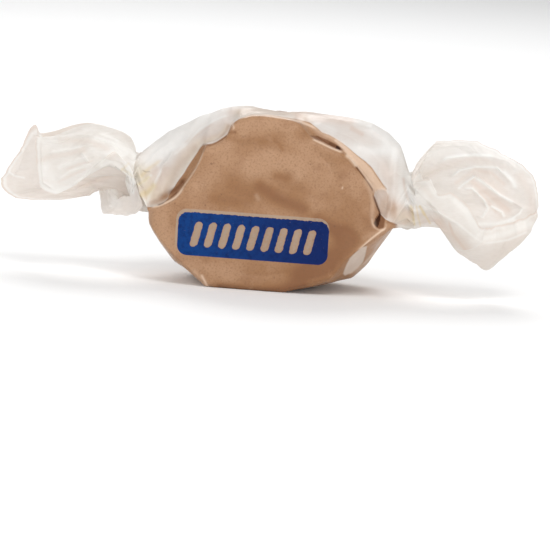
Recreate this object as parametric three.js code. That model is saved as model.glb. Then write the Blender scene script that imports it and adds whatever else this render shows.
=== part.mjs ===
// A chew of salt water taffy in its twisted paper wrapper.
// Millimetres, +Z up. X runs along the twists, the flat front face looks along -Y,
// and the origin is the middle of the flat underside.
import * as THREE from 'three';

// paper and clearances
const PAPER = 0.3;
const MOST_PAPER = 0.75;
const CHEW_INSET = 1.15;
const FACE_GAP = 0.65;
const EDGE_ROUND = 0.5;
const CHEW_MIDDLE_Z = 11;

// body of the wrapped chew, outside of the paper
const HALF_DEPTH = 7.5;
const LIP_Y = 6.2;
const GROOVE_Y = 5.2;
const BAND_Y = 4.2;
const REST_MIDDLE_X = -2.75;

// outlines of the front face: top edge, bottom edge, [x, z]
const FRONT_TOP = [
  [-16.0, 9.1], [-14.6, 10.3], [-11.8, 12.2], [-11.0, 14.2], [-9.7, 16.2], [-9.1, 18.5],
  [-6.3, 20.0], [-5.3, 21.6], [-1.0, 22.9], [2.0, 22.7], [3.4, 22.0], [4.4, 20.7],
  [8.5, 19.2], [9.9, 17.8], [12.3, 15.3], [13.0, 13.9], [13.4, 11.3], [14.5, 10.9],
  [16.0, 10.5],
];
const FRONT_BOTTOM = [
  [-16.0, 7.9], [-14.2, 5.5], [-12.0, 3.4], [-7.9, 0.0], [2.4, 0.0], [8.4, 2.2],
  [10.2, 4.6], [13.0, 7.3], [16.0, 9.3],
];
// rim of the chew behind the front face
const BAND_TOP = [
  [-16.0, 9.6], [-13.7, 11.4], [-11.9, 13.9], [-10.2, 17.0], [-9.1, 18.9], [-5.3, 21.9],
  [-1.0, 22.9], [3.4, 22.4], [5.1, 21.9], [9.4, 18.9], [13.4, 14.3], [14.6, 11.6],
  [16.0, 10.3],
];
// back face
const BACK_TOP = [
  [-16.0, 9.6], [-12.5, 14.6], [-9.5, 18.4], [-5.5, 21.4], [-1.0, 22.8], [4.0, 22.2],
  [9.0, 19.5], [12.8, 15.2], [16.0, 10.3],
];
const BACK_BOTTOM = [
  [-16.0, 8.0], [-12.0, 3.4], [-7.9, 0.0], [2.4, 0.0], [11.3, 2.9], [16.0, 9.2],
];
// paper half way through the depth
const RIDGE_TOP = [
  [-18.2, 16.1], [-14.7, 19.2], [-11.2, 21.3], [-7.3, 22.6], [-3.8, 23.0], [0.2, 23.0],
  [6.1, 22.8], [9.9, 22.3], [13.8, 20.8], [15.1, 19.3], [17.5, 16.1],
];
const RIDGE_BOTTOM = [
  [-18.2, 8.7], [-16.6, 8.2], [-15.9, 6.6], [-15.0, 4.6], [-12.6, 2.2], [-7.9, 0.0],
  [2.4, 0.0], [6.5, 0.6], [10.6, 1.9], [12.5, 3.9], [15.3, 8.0], [17.5, 8.7],
];
// half depth of the body towards the necks
const DEPTH = [
  [-16.0, 6.4], [-15.2, 7.2], [-14.0, 7.5], [14.0, 7.5], [15.2, 7.2], [16.0, 6.4],
];
// depth of the pressed groove behind the front edge
const GROOVE_DEPTH = [
  [-13.0, 0.0], [-11.4, 0.8], [-9.6, 0.9], [-7.5, 0.6], [-5.3, 0.0], [3.6, 0.0],
  [5.4, 0.5], [9.0, 0.9], [12.4, 0.9], [13.2, 0.3], [14.2, 0.0],
];

// how far the edge's lip already rises towards the ridge
const LIP_RISE = [[-16.0, 0.12], [-14.8, 0.04], [14.8, 0.04], [16.0, 0.12]];

// twisted necks; the turns are in columns
const NECK_LEFT_X = -18.2;
const NECK_RIGHT_X = 17.5;
const NECK_Z = 12.4;
const NECK_R = 3.7;
const WAIST_R = 3.2;
const WAIST_LENGTH = 0.9;
const NECK_TURN = -2.5;
const WAIST_TURN = -5;
const PLEATS = 12;
const PLEAT_HEIGHT = 0.35;

// fans: [column, x, y, z] round the loop, column 0 in front, 12 on top, 24 behind, 36 below
const LEFT_BELLY = [
  [1, -20.7, -3.6, 13.3], [3, -23.4, -4.3, 14.6], [5, -24.6, -4.0, 16.0],
  [8, -23.6, -2.8, 18.4], [12, -22.6, 0.3, 19.5], [18, -26.7, 3.2, 15.4],
  [24, -26.7, 3.4, 11.9], [30, -23.4, 2.4, 10.7], [34, -21.7, 0.9, 10.5],
  [38, -20.9, -1.6, 9.6], [43, -20.1, -3.0, 10.2], [46, -20.3, -3.5, 11.8],
];
const LEFT_RIM = [
  [0, -22.0, -4.4, 14.2], [2, -24.8, -4.8, 13.2], [4, -28.3, -3.8, 10.3],
  [6, -30.9, -3.6, 12.5], [8, -31.3, -3.0, 15.8], [10, -31.3, -1.2, 17.8],
  [12, -32.6, 0.2, 18.5], [15, -33.3, 1.8, 15.9], [19, -35.4, 2.8, 12.6],
  [23, -36.2, 3.0, 10.1], [26, -34.5, 2.8, 8.8], [29, -29.6, 2.4, 8.8],
  [32, -25.0, 1.7, 9.4], [34, -23.5, 0.7, 10.0], [37, -22.1, -1.2, 8.2],
  [43, -19.3, -3.3, 8.0], [46, -20.9, -4.4, 11.2],
];
const RIGHT_BELLY = [
  [0, 21.2, -4.2, 12.0], [6, 18.9, -3.5, 17.0], [9, 20.0, -1.8, 19.4], [12, 22.8, 0.4, 20.0],
  [18, 27.3, 3.2, 16.9], [24, 29.2, 4.2, 11.8], [30, 29.3, 3.0, 6.7],
  [34, 27.7, 0.5, 3.9], [38, 25.0, -2.8, 5.7], [43, 23.0, -4.6, 9.2],
];
const RIGHT_RIM = [
  [0, 23.7, -5.0, 11.7], [3, 20.6, -4.8, 14.6], [6, 18.9, -3.8, 18.1],
  [9, 20.8, -1.5, 20.5], [13, 25.4, 0.5, 20.4], [17, 29.3, 2.0, 18.6],
  [21, 32.4, 2.6, 16.0], [25, 33.7, 2.2, 12.6], [29, 33.1, 0.6, 9.5],
  [33, 30.8, -2.2, 7.9], [38, 27.4, -4.6, 7.7], [43, 25.6, -5.0, 9.7],
];

// mesh: 48 columns round the twist axis, of which 10 steps climb the front face, 10 go down
// the back and 14 each go over the top and underneath
const COLUMNS = 48;
const FACE_STEPS = 10;
const TOP_STEPS = 3;
const UNDER_STEPS = 6;
const FRONT_MIDDLE = 5;
const FAN_STEPS = 6;
const BODY_STATIONS = [
  -16.0, -15.2, -14.4, -13.4, -12.4, -11.6, -11.0, -10.3, -9.6, -8.8, -7.9, -6.3, -5.3,
  -3.5, -1.0, 1.0, 2.4, 3.6, 4.6, 6.4, 8.4, 9.9, 11.2, 12.4, 13.3, 14.3, 15.2, 16.0,
];
const SHOULDER_STEPS = 3;
const CHEW_SIDES = 60;

function lookUp(table, x) {
  const last = table.length - 1;
  if (x <= table[0][0]) return table[0][1];
  if (x >= table[last][0]) return table[last][1];
  const i = table.findIndex((row) => row[0] > x) - 1;
  const share = (x - table[i][0]) / (table[i + 1][0] - table[i][0]);
  return THREE.MathUtils.lerp(table[i][1], table[i + 1][1], share);
}

function straight(share) {
  return share;
}

function toCrown(share) {
  return Math.sin(share * Math.PI * 0.5);
}

function fromCrown(share) {
  return 1 - Math.cos(share * Math.PI * 0.5);
}

function angleOf(column) {
  return (column / COLUMNS) * Math.PI * 2;
}

// one closed ring of the wrapped body at a station x, front first, then over the top
function bodyRing(x) {
  const depth = lookUp(DEPTH, x);
  const scale = depth / HALF_DEPTH;
  const frontTop = lookUp(FRONT_TOP, x);
  const frontBottom = lookUp(FRONT_BOTTOM, x);
  const backTop = lookUp(BACK_TOP, x);
  const backBottom = lookUp(BACK_BOTTOM, x);
  const ridgeTop = lookUp(RIDGE_TOP, x);
  const ridgeBottom = lookUp(RIDGE_BOTTOM, x);
  const sideOf = (edge, share) => THREE.MathUtils.lerp(edge, ridgeTop, share);
  const bandTop = Math.max(lookUp(BAND_TOP, x), sideOf(frontTop, 0.3));
  const lipTop = sideOf(frontTop, lookUp(LIP_RISE, x));
  const grooveTop = THREE.MathUtils.lerp(lipTop, bandTop, 0.4) - lookUp(GROOVE_DEPTH, x);
  const round = Math.min(EDGE_ROUND, 0.3 * (frontTop - frontBottom));
  const ring = [];
  const add = (y, z) => ring.push(new THREE.Vector3(x, y * scale, z));
  const across = (fromY, fromZ, toY, toZ, count, ease) => {
    for (let k = 1; k <= count; k += 1) {
      const s = k / count;
      add(THREE.MathUtils.lerp(fromY, toY, s), THREE.MathUtils.lerp(fromZ, toZ, ease(s)));
    }
  };
  add(-HALF_DEPTH, frontBottom + round);
  across(-HALF_DEPTH, frontBottom + round, -HALF_DEPTH, frontTop - round, FACE_STEPS,
    straight);
  add(-HALF_DEPTH + round, frontTop);
  add(-LIP_Y, lipTop);
  add(-GROOVE_Y, grooveTop);
  add(-BAND_Y, bandTop);
  across(-BAND_Y, bandTop, 0, ridgeTop, TOP_STEPS, toCrown);
  across(0, ridgeTop, BAND_Y, sideOf(backTop, 0.35), TOP_STEPS, fromCrown);
  add(GROOVE_Y, sideOf(backTop, 0.2));
  add(LIP_Y, sideOf(backTop, 0.08));
  add(HALF_DEPTH - round, backTop);
  add(HALF_DEPTH, backTop - round);
  across(HALF_DEPTH, backTop - round, HALF_DEPTH, backBottom + round, FACE_STEPS,
    straight);
  add(HALF_DEPTH - round, backBottom);
  across(HALF_DEPTH - round, backBottom, 0, ridgeBottom, UNDER_STEPS, toCrown);
  across(0, ridgeBottom, -HALF_DEPTH + round, frontBottom, UNDER_STEPS,
    fromCrown);
  return ring;
}

// a pleated round ring; turned is the twist in columns
function neckRing(x, radius, turned) {
  const ring = [];
  for (let column = 0; column < COLUMNS; column += 1) {
    const angle = angleOf(column - FRONT_MIDDLE + turned);
    const r = radius + PLEAT_HEIGHT * Math.cos(PLEATS * angleOf(column));
    ring.push(new THREE.Vector3(x, -r * Math.cos(angle), NECK_Z + r * Math.sin(angle)));
  }
  return ring;
}

function blendRings(ringA, ringB, share) {
  return ringA.map((point, column) => point.clone().lerp(ringB[column], share));
}

function shoulderRings(bodySide, neckSide) {
  const rings = [];
  for (let k = 1; k < SHOULDER_STEPS; k += 1) {
    rings.push(blendRings(bodySide, neckSide, k / SHOULDER_STEPS));
  }
  return rings;
}

// point of a loop given by [column, x, y, z] rows, at any column
function loopPoint(loop, column) {
  const at = ((column % COLUMNS) + COLUMNS) % COLUMNS;
  const after = loop.findIndex((row) => row[0] > at);
  const to = loop[Math.max(after, 0)];
  const from = after > 0 ? loop[after - 1] : loop[loop.length - 1];
  const span = (to[0] - from[0] + COLUMNS) % COLUMNS;
  const share = ((at - from[0] + COLUMNS) % COLUMNS) / span;
  return new THREE.Vector3(from[1], from[2], from[3])
    .lerp(new THREE.Vector3(to[1], to[2], to[3]), share);
}

// rings of one fan from its waist out to its free edge
function fanRings(neck, waist, belly, rim) {
  const rings = Array.from({ length: FAN_STEPS + 1 }, () => []);
  for (let column = 0; column < COLUMNS; column += 1) {
    const at = column - FRONT_MIDDLE + WAIST_TURN;
    const path = new THREE.CatmullRomCurve3(
      [neck[column], waist[column], loopPoint(belly, at), loopPoint(rim, at)],
      false,
      'centripetal',
    );
    for (let k = 0; k <= FAN_STEPS; k += 1) {
      rings[k].push(path.getPoint(1 / 3 + (2 / 3) * (k / FAN_STEPS)));
    }
  }
  return rings;
}

function paperNormal(rings, i, j) {
  const before = rings[Math.max(i - 1, 0)][j];
  const after = rings[Math.min(i + 1, rings.length - 1)][j];
  const left = rings[i][(j + COLUMNS - 1) % COLUMNS];
  const right = rings[i][(j + 1) % COLUMNS];
  const along = after.clone().sub(before);
  const round = right.clone().sub(left);
  return along.cross(round).normalize();
}

function quad(index, a, b, c, d) {
  index.push(a, b, c, a, c, d);
}

// inner point of the paper: towards the twist axis in the body, square to the sheet in a fan
function innerPoint(rings, i, j) {
  const point = rings[i][j];
  const normal = paperNormal(rings, i, j);
  if (i < FAN_STEPS || i > rings.length - 1 - FAN_STEPS) {
    return point.clone().addScaledVector(normal, -PAPER);
  }
  const inward = new THREE.Vector3(0, -point.y, NECK_Z - point.z).normalize();
  const thick = PAPER / Math.max(-inward.dot(normal), PAPER / MOST_PAPER);
  return point.clone().addScaledVector(inward, thick);
}

// a closed solid from rings of outer points
function sheetGeometry(rings) {
  const inner = rings.map((ring, i) => ring.map((point, j) => innerPoint(rings, i, j)));
  const count = rings.length * COLUMNS;
  const position = [];
  rings.flat().forEach((point) => position.push(point.x, point.y, point.z));
  inner.flat().forEach((point) => position.push(point.x, point.y, point.z));
  const index = [];
  const at = (i, j) => i * COLUMNS + (j % COLUMNS);
  for (let i = 0; i + 1 < rings.length; i += 1) {
    for (let j = 0; j < COLUMNS; j += 1) {
      quad(index, at(i, j), at(i + 1, j), at(i + 1, j + 1), at(i, j + 1));
      quad(index, count + at(i, j), count + at(i, j + 1), count + at(i + 1, j + 1),
        count + at(i + 1, j));
    }
  }
  const last = rings.length - 1;
  for (let j = 0; j < COLUMNS; j += 1) {
    quad(index, at(0, j), at(0, j + 1), count + at(0, j + 1), count + at(0, j));
    quad(index, at(last, j), count + at(last, j), count + at(last, j + 1), at(last, j + 1));
  }
  return indexedGeometry(position, index);
}

function indexedGeometry(position, index) {
  const geometry = new THREE.BufferGeometry();
  geometry.setAttribute('position', new THREE.Float32BufferAttribute(position, 3));
  geometry.setIndex(index);
  geometry.computeVertexNormals();
  return geometry;
}

function wrapperRings() {
  const body = BODY_STATIONS.map(bodyRing);
  const leftNeck = neckRing(NECK_LEFT_X, NECK_R, NECK_TURN);
  const leftWaist = neckRing(NECK_LEFT_X - WAIST_LENGTH, WAIST_R, WAIST_TURN);
  const rightNeck = neckRing(NECK_RIGHT_X, NECK_R, NECK_TURN);
  const rightWaist = neckRing(NECK_RIGHT_X + WAIST_LENGTH, WAIST_R, WAIST_TURN);
  const leftFan = fanRings(leftNeck, leftWaist, LEFT_BELLY, LEFT_RIM);
  const rightFan = fanRings(rightNeck, rightWaist, RIGHT_BELLY, RIGHT_RIM);
  return [
    ...leftFan.reverse(),
    leftNeck,
    ...shoulderRings(leftNeck, body[0]),
    ...body,
    ...shoulderRings(body[body.length - 1], rightNeck),
    rightNeck,
    ...rightFan,
  ];
}

// distance from the chew's middle to a closed outline of [x, z] points, in direction phi
function reach(outline, phi) {
  const dx = Math.cos(phi);
  const dz = Math.sin(phi);
  let far = 0;
  outline.forEach((from, i) => {
    const to = outline[(i + 1) % outline.length];
    const ax = from[0];
    const az = from[1] - CHEW_MIDDLE_Z;
    const ex = to[0] - from[0];
    const ez = to[1] - from[1];
    const cross = dx * ez - dz * ex;
    if (Math.abs(cross) < 1e-9) return;
    const along = (ax * ez - az * ex) / cross;
    const share = (ax * dz - az * dx) / cross;
    if (along > far && share >= -1e-9 && share <= 1 + 1e-9) far = along;
  });
  return far;
}

function outlineOf(top, bottom) {
  return [...bottom, ...[...top].reverse()];
}

// the chew: a thick oval slab cut across a pulled rope, pressed in behind its front edge
function chewGeometry() {
  const front = outlineOf(FRONT_TOP, FRONT_BOTTOM);
  const band = outlineOf(BAND_TOP, FRONT_BOTTOM);
  const back = outlineOf(BACK_TOP, BACK_BOTTOM);
  const faceY = HALF_DEPTH - FACE_GAP;
  const loops = [
    { y: -faceY, outline: front, less: 0.9, groove: 0 },
    { y: -faceY + 0.4, outline: front, less: 0.1, groove: 0 },
    { y: -LIP_Y - 0.15, outline: front, less: 0.0, groove: 0 },
    { y: -GROOVE_Y, outline: front, less: 0.15, groove: 1 },
    { y: -BAND_Y + 0.3, outline: band, less: 0.1, groove: 0 },
    { y: 0, outline: band, less: 0.0, groove: 0 },
    { y: BAND_Y, outline: band, less: 0.0, groove: 0 },
    { y: faceY - 0.7, outline: back, less: 0.1, groove: 0 },
    { y: faceY, outline: back, less: 0.9, groove: 0 },
  ];
  const position = [];
  loops.forEach((loop) => {
    for (let k = 0; k < CHEW_SIDES; k += 1) {
      const phi = (k / CHEW_SIDES) * Math.PI * 2;
      const full = reach(loop.outline, phi) - CHEW_INSET - loop.less;
      const onTop = Math.sin(phi) > 0 ? 1 : 0;
      const pressed = lookUp(GROOVE_DEPTH, full * Math.cos(phi)) * loop.groove * onTop;
      const r = full - pressed;
      position.push(r * Math.cos(phi), loop.y, CHEW_MIDDLE_Z + r * Math.sin(phi));
    }
  });
  const index = [];
  const at = (i, k) => i * CHEW_SIDES + (k % CHEW_SIDES);
  for (let i = 0; i + 1 < loops.length; i += 1) {
    for (let k = 0; k < CHEW_SIDES; k += 1) {
      quad(index, at(i, k), at(i + 1, k), at(i + 1, k + 1), at(i, k + 1));
    }
  }
  const frontMiddle = position.length / 3;
  position.push(0, -faceY, CHEW_MIDDLE_Z);
  position.push(0, faceY, CHEW_MIDDLE_Z);
  const last = loops.length - 1;
  for (let k = 0; k < CHEW_SIDES; k += 1) {
    index.push(frontMiddle, at(0, k), at(0, k + 1));
    index.push(frontMiddle + 1, at(last, k + 1), at(last, k));
  }
  return indexedGeometry(position, index);
}

function addPart(group, name, geometry, color, roughness) {
  geometry.translate(-REST_MIDDLE_X, 0, 0);
  const material = new THREE.MeshStandardMaterial({ color, roughness, metalness: 0 });
  const mesh = new THREE.Mesh(geometry, material);
  mesh.name = name;
  group.add(mesh);
}

const part = new THREE.Group();
part.name = 'wrapped_taffy';
addPart(part, 'taffy', chewGeometry(), 0xb1896a, 0.6);
addPart(part, 'wrapper', sheetGeometry(wrapperRings()), 0xece6dd, 0.45);

export default part;
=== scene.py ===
"""A chew of salt water taffy in its twisted waxed paper wrapper, on a pale floor."""
import math

import bpy
import numpy as np
from mathutils import Matrix, Vector


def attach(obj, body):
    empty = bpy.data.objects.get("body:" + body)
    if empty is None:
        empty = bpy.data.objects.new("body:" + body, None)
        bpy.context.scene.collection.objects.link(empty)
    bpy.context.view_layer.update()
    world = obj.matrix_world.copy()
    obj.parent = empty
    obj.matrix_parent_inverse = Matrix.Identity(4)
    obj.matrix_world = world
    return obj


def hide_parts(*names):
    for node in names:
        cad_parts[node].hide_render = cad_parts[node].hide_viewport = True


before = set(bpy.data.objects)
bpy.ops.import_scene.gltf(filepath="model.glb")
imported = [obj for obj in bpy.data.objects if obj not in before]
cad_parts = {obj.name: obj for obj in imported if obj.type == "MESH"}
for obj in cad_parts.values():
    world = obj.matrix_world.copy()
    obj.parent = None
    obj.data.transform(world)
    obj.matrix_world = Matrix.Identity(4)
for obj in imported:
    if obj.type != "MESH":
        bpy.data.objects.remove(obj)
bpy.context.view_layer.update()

MM = 0.001

# ---------------------------------------------------------------- named sizes, millimetres
# x runs from the chew's own middle and z from the floor. Tops and bottoms hold (x, z), the
# other profiles (x, value), with straight lines between the rows.
MIDDLE_X = 2.75
HALF_DEPTH = 7.5
EDGE_ROUND = 0.5

# over the top, from the flat front to the middle: the lip, the pressed groove behind it and
# the band of free paper, each at its distance from the middle plane
LIP_Y = 6.2
GROOVE_Y = 5.2
BAND_Y = 4.2
# height of the groove as a share of the way from lip to band, and of the back's points as
# shares of the way from its top edge to the ridge
GROOVE_SHARE = 0.4
BACK_BAND, BACK_GROOVE, BACK_LIP = 0.35, 0.2, 0.08
TOP_LIMIT = 23.6
FRONT_TOP = [
    (-16, 9.8), (-15.4, 10), (-14.4, 10.2), (-13.2, 10.95), (-12.5, 11.45), (-11.9, 12.15),
    (-11.3, 13.25), (-10.7, 14.3), (-10.1, 15.3), (-9.55, 16.7), (-9.2, 17.75), (-9, 18.35),
    (-8.1, 18.7), (-7.5, 19.05), (-6.85, 19.55), (-6.2, 20.1), (-5.95, 20.8), (-5.3, 21.9),
    (-4.65, 22.3), (-3.1, 22.8), (-1.8, 22.9), (0.8, 22.8), (2.1, 22.6), (3.2, 22.2), (4, 21.3),
    (4.75, 20.45), (6, 19.95), (7.3, 19.4), (8.9, 18.85), (10, 18), (11.4, 16.5), (12.25, 15.5),
    (13.25, 14.1), (13.6, 13), (14.05, 11.7), (14.3, 11.3), (14.9, 10.7), (16, 10.4),
]
FRONT_BOTTOM = [
    (-16, 7.8), (-14.2, 5.5), (-12.1, 3.3), (-7.9, 0), (2.4, 0), (8.4, 1.9), (10.2, 4.3), (13, 7),
    (16, 9.3),
]
BAND_TOP = [
    (-16, 9.9), (-13.7, 11.4), (-11.9, 13.9), (-10.2, 17), (-9.1, 18.9), (-5.3, 22), (-1, 23),
    (3.4, 22.5), (5.2, 21.8), (7, 20.9), (9, 19.6), (10.8, 18.3), (12.7, 16.8), (13.8, 15.4),
    (14.8, 13.9), (15.3, 12.2), (16, 11),
]
BACK_TOP = [
    (-16, 9.6), (-12.5, 14.6), (-9.5, 18.4), (-5.5, 21.3), (-1, 22.3), (4, 21.9), (9, 19.5),
    (12.8, 15.2), (16, 10.3),
]
BACK_BOTTOM = [
    (-16, 8), (-12, 3.4), (-7.9, 0), (2.4, 0), (11.3, 2.9), (16, 9.2),
]
RIDGE_TOP = [
    (-18.2, 16.2), (-14.7, 19.3), (-11.2, 21.3), (-9.4, 22), (-7.8, 22.8), (-6.5, 23.2),
    (-5.2, 23.4), (-3.9, 23.4), (-2.6, 23.1), (-1.3, 22.9), (0, 22.7), (1.3, 22.9), (2.6, 23),
    (6.1, 22.9), (9.9, 22.7), (12, 22.3), (14.2, 21.2), (15.8, 19.75), (17.5, 16.5),
]
RIDGE_BOTTOM = [
    (-17.2, 8.8), (-16, 7.7), (-15, 5.2), (-12.7, 2.1), (-7.9, 0), (2.4, 0), (6.5, 0.5),
    (10.6, 1.6), (12.5, 3.6), (15.2, 7.9), (15.8, 9.6), (17.5, 9.5),
]
DEPTH = [
    (-16, 6.4), (-15.2, 7.2), (-14, 7.5), (14, 7.5), (15.2, 7.2), (16, 6.4),
]
GROOVE_DEPTH = [
    (-13, 0), (-11.4, 0.45), (-9.6, 0.45), (-7.5, 0.3), (-5.3, 0), (3.6, 0), (5.4, 0.5), (9, 0.9),
    (12.4, 0.9), (13.2, 0.3), (14.2, 0),
]
LIP_RISE = [
    (-16, 0.15), (-15, 0.04), (14.9, 0.04), (15.7, 0.15), (16, 0.15),
]
BAND_RISE = [
    (-16, 0.5), (-15, 0.3), (14.9, 0.3), (15.7, 0.5), (16, 0.5),
]

# twists: a ring of pleats at each neck and a tighter one at the waist next to it, both turned
# by some of the 48 columns that run round the paper
RING_COLUMNS = 48
FRONT_COLUMN = 5
NECK_LEFT_X = -18.2
NECK_RIGHT_X = 17.5
WAIST_LEFT_X = -18.7
WAIST_RIGHT_X = 18.4
NECK_Z = 12.4
NECK_R = 3.7
WAIST_R = 3.45
NECK_TURN = -2.5
WAIST_TURN = -5.0
PLEATS = 12
PLEAT_HEIGHT = 0.25
BODY_END = 16.0

# the cone that closes each waist
CAP_ROWS = 12
CAP_HOLE = 0.12
CAP_RISE = 1.4
CAP_FOLDS = 15
CAP_FOLD_HEIGHT = 0.22

# the chew inside the paper
CHEW_Z = 11.0
CHEW_FACE = HALF_DEPTH - 0.65
CHEW_MARGIN = 1.25
CHEW_ROUND = 0.9
PIT_DEPTH = 0.35

# Fans: loops of (column, steps from the front view's left, steps from its top, y), column 0
# in front, 12 on top, 24 behind and 36 below. The belly and the throat swell behind the rim.
LEFT_BELLY = [
    (0, 121, 161, -3.6), (1, 113, 165, -3.9), (3, 98, 162, -4.3), (5, 88, 151, -4),
    (8, 98, 134, -2.8), (10.5, 118, 139, -1.6), (12, 130, 137, -0.2), (13.5, 117, 140, 1.2),
    (15, 96, 138, 2), (18, 77, 148, 3.2), (24, 76, 175, 3.4), (30, 98, 186, 2.4),
    (34, 112, 189, 0.9), (38, 117, 199, -1.6), (43, 130, 196, -3), (45, 133, 183, -3.6),
    (46.5, 130, 171, -3.8),
]
LEFT_RIM = [
    (0, 103, 160, -4.6), (1, 95, 167, -4.9), (2, 84, 177, -5), (3, 72, 187, -4.6),
    (4, 56, 195, -4), (4.6, 47, 192, -3.8), (5.2, 39, 186, -3.7), (6, 37.5, 177, -3.6),
    (7, 37, 160, -3.4), (8, 35.5, 148, -3), (10, 36, 138, -1.6), (11.2, 38, 136, -0.8),
    (11.7, 36.5, 134, -0.6), (12.1, 37, 129, -0.4), (12.5, 34.5, 123.5, -0.2),
    (13, 29.5, 128, 0.2), (14, 27, 135, 0.9), (15, 23, 145, 1.5), (17, 16, 156.5, 2.1),
    (19, 8, 168, 2.6), (21, 1, 179, 2.9), (23, 2.5, 187, 3), (24.5, 9, 194.5, 2.9),
    (26, 15, 198, 2.8), (28, 32, 200, 2.6), (30, 61, 199.5, 2.3), (31.5, 85.5, 196, 1.9),
    (32.1, 89, 192.5, 1.75), (32.8, 92, 188.5, 1.5), (33.6, 98.5, 187.5, 1.2),
    (34.5, 100, 195, 0.6), (36, 100.5, 206, -0.3), (37, 102, 213, -1), (39, 112, 214, -2),
    (41, 127, 216.5, -2.8), (42.5, 135, 213.5, -3.4), (44, 143, 206.5, -3.9),
    (45.2, 139, 194, -4.1), (46.2, 131, 167, -4.2), (47.2, 115, 151, -4.5),
]
RIGHT_BELLY = [
    (0, 435, 209, -4.2), (6, 419, 171, -3.5), (9, 430, 151, -1.8), (12, 453, 145, 0.4),
    (18, 488, 168, 3.2), (24, 503, 207, 4.2), (30, 503, 247, 3), (34, 486, 270, 0.5),
    (38, 462, 253, -2.8), (43, 445, 232, -4.4),
]
RIGHT_THROAT = [
    (0, 428, 205, -3.7), (6, 413, 175, -3.2), (9, 419, 162, -1.5), (12, 425, 159, 0.2),
    (18, 444, 170, 2.5), (24, 452, 200, 3.1), (30, 450, 224, 2.3), (34, 447, 231, 0.6),
    (38, 439, 224.5, -1.8), (43, 431, 217, -3.4),
]
RIGHT_LIP = [
    (0, 446, 217, -5.2), (2, 436, 208, -5.2), (3.5, 423, 198, -4.9), (5, 413, 187, -4.3),
    (6.5, 413, 173.5, -3.5), (7.5, 420, 161, -2.8), (9, 433, 145, -1.8), (13, 470, 146, 0.5),
    (17, 500, 160, 2.2), (21, 523, 180, 3), (25, 532, 206, 3), (27, 537, 219, 1.8),
    (29, 531, 231.5, 0.4), (31, 520, 239, -1.2), (33, 508, 241, -2.6), (38, 484, 245, -4.9),
    (40, 478, 242, -5.1), (43, 466, 232, -5.2), (46, 454, 223, -5.2),
]
RIGHT_RIM = [
    (0, 461, 200, -3.8), (1.5, 452, 192, -4.2), (2.7, 439, 195, -4.8), (3.4, 434, 186, -4.8),
    (4, 431, 178, -4.7), (5, 421, 180, -4.3), (5.7, 413, 181.5, -3.9), (6.5, 412.5, 172.5, -3.3),
    (7.5, 420.5, 158.5, -2.6), (9, 436, 141, -1.5), (13, 478, 140.5, 0.5), (15, 494, 148.5, 1.2),
    (17, 508, 156.5, 2), (19, 522, 165, 2.4), (21, 532, 177, 2.6), (23, 537, 189, 2.6),
    (25, 538, 206, 2.2), (27, 536, 212, 1.2), (29, 527, 216, 0), (32, 512, 222, -1.6),
    (36, 494, 227, -3), (40, 482, 229, -3.6), (42, 479, 225, -3.8), (44, 474, 215, -3.8),
    (46, 469, 207, -3.8),
]

# the view the piece is built for: degrees, and millimetres across a square picture
AZIMUTH = 6.0
ELEVATION = 8.0
ROLL = 3.5
VIEW_WIDTH = 71.43
VIEW_STEPS = 550
LENS = 300.0
SENSOR = 36.0
# a point of the flat front, and the steps of the view at which it shows
VIEW_POINT = np.array((MIDDLE_X, -HALF_DEPTH, 11.4))
POINT_PLACE = (270.0, 205.0)
MIDDLE = np.array((MIDDLE_X, 0.0, 0.0))


# ---------------------------------------------------------------- small tools
def lerp(a, b, share):
    """The value at a share of the straight way from a to b."""
    return a + (b - a) * share


def look(rows, x):
    """A profile's value at x, on the straight line between the two rows round it."""
    rows = np.asarray(rows, float)
    return np.interp(x, rows[:, 0], rows[:, 1])


def step(low, high, value):
    """Smooth step: 3t squared minus 2t cubed, t the share of the way from low to high."""
    t = np.clip((value - low) / (high - low), 0.0, 1.0)
    return t * t * (3.0 - 2.0 * t)


def soften(grid, times, axis, wrap):
    """Each value becomes a quarter of each neighbour and half of itself, some times over."""
    for _ in range(times):
        if wrap:
            before, after = np.roll(grid, 1, axis), np.roll(grid, -1, axis)
        else:
            count = grid.shape[axis]
            before = np.take(grid, np.maximum(np.arange(count) - 1, 0), axis)
            after = np.take(grid, np.minimum(np.arange(count) + 1, count - 1), axis)
        grid = 0.25 * before + 0.5 * grid + 0.25 * after
    return grid


TABLE_U, TABLE_V = 160, 89


def cell_corners(u, v, seed, around):
    """Random heights from -1 to 1 at the four corners of each place's unit cell, and the
    shares of the way across the cell. u repeats after a whole number of cells."""
    table = np.random.default_rng(seed).uniform(-1.0, 1.0, (TABLE_U, TABLE_V))
    i, j = np.floor(u).astype(int), np.floor(v).astype(int)
    left, right = i % around, (i + 1) % around
    low, high = j % TABLE_V, (j + 1) % TABLE_V
    corners = table[left, low], table[right, low], table[left, high], table[right, high]
    return *corners, u - i, v - j


def facets(u, v, seed, around=TABLE_U):
    """Creased relief: each unit cell is cut into two triangles that are flat between the
    heights of its corners, so that the creases run along the cell edges."""
    a, b, c, d, fu, fv = cell_corners(u, v, seed, around)
    lower = a + fu * (b - a) + fv * (c - a)
    upper = d + (1.0 - fu) * (c - d) + (1.0 - fv) * (b - d)
    return np.where(fu + fv < 1.0, lower, upper)


def waves(u, v, seed, around=TABLE_U):
    """Smooth relief: the heights of each cell's corners, joined by smooth steps."""
    a, b, c, d, fu, fv = cell_corners(u, v, seed, around)
    fu, fv = step(0.0, 1.0, fu), step(0.0, 1.0, fv)
    return lerp(lerp(a, b, fu), lerp(c, d, fu), fv)


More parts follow.
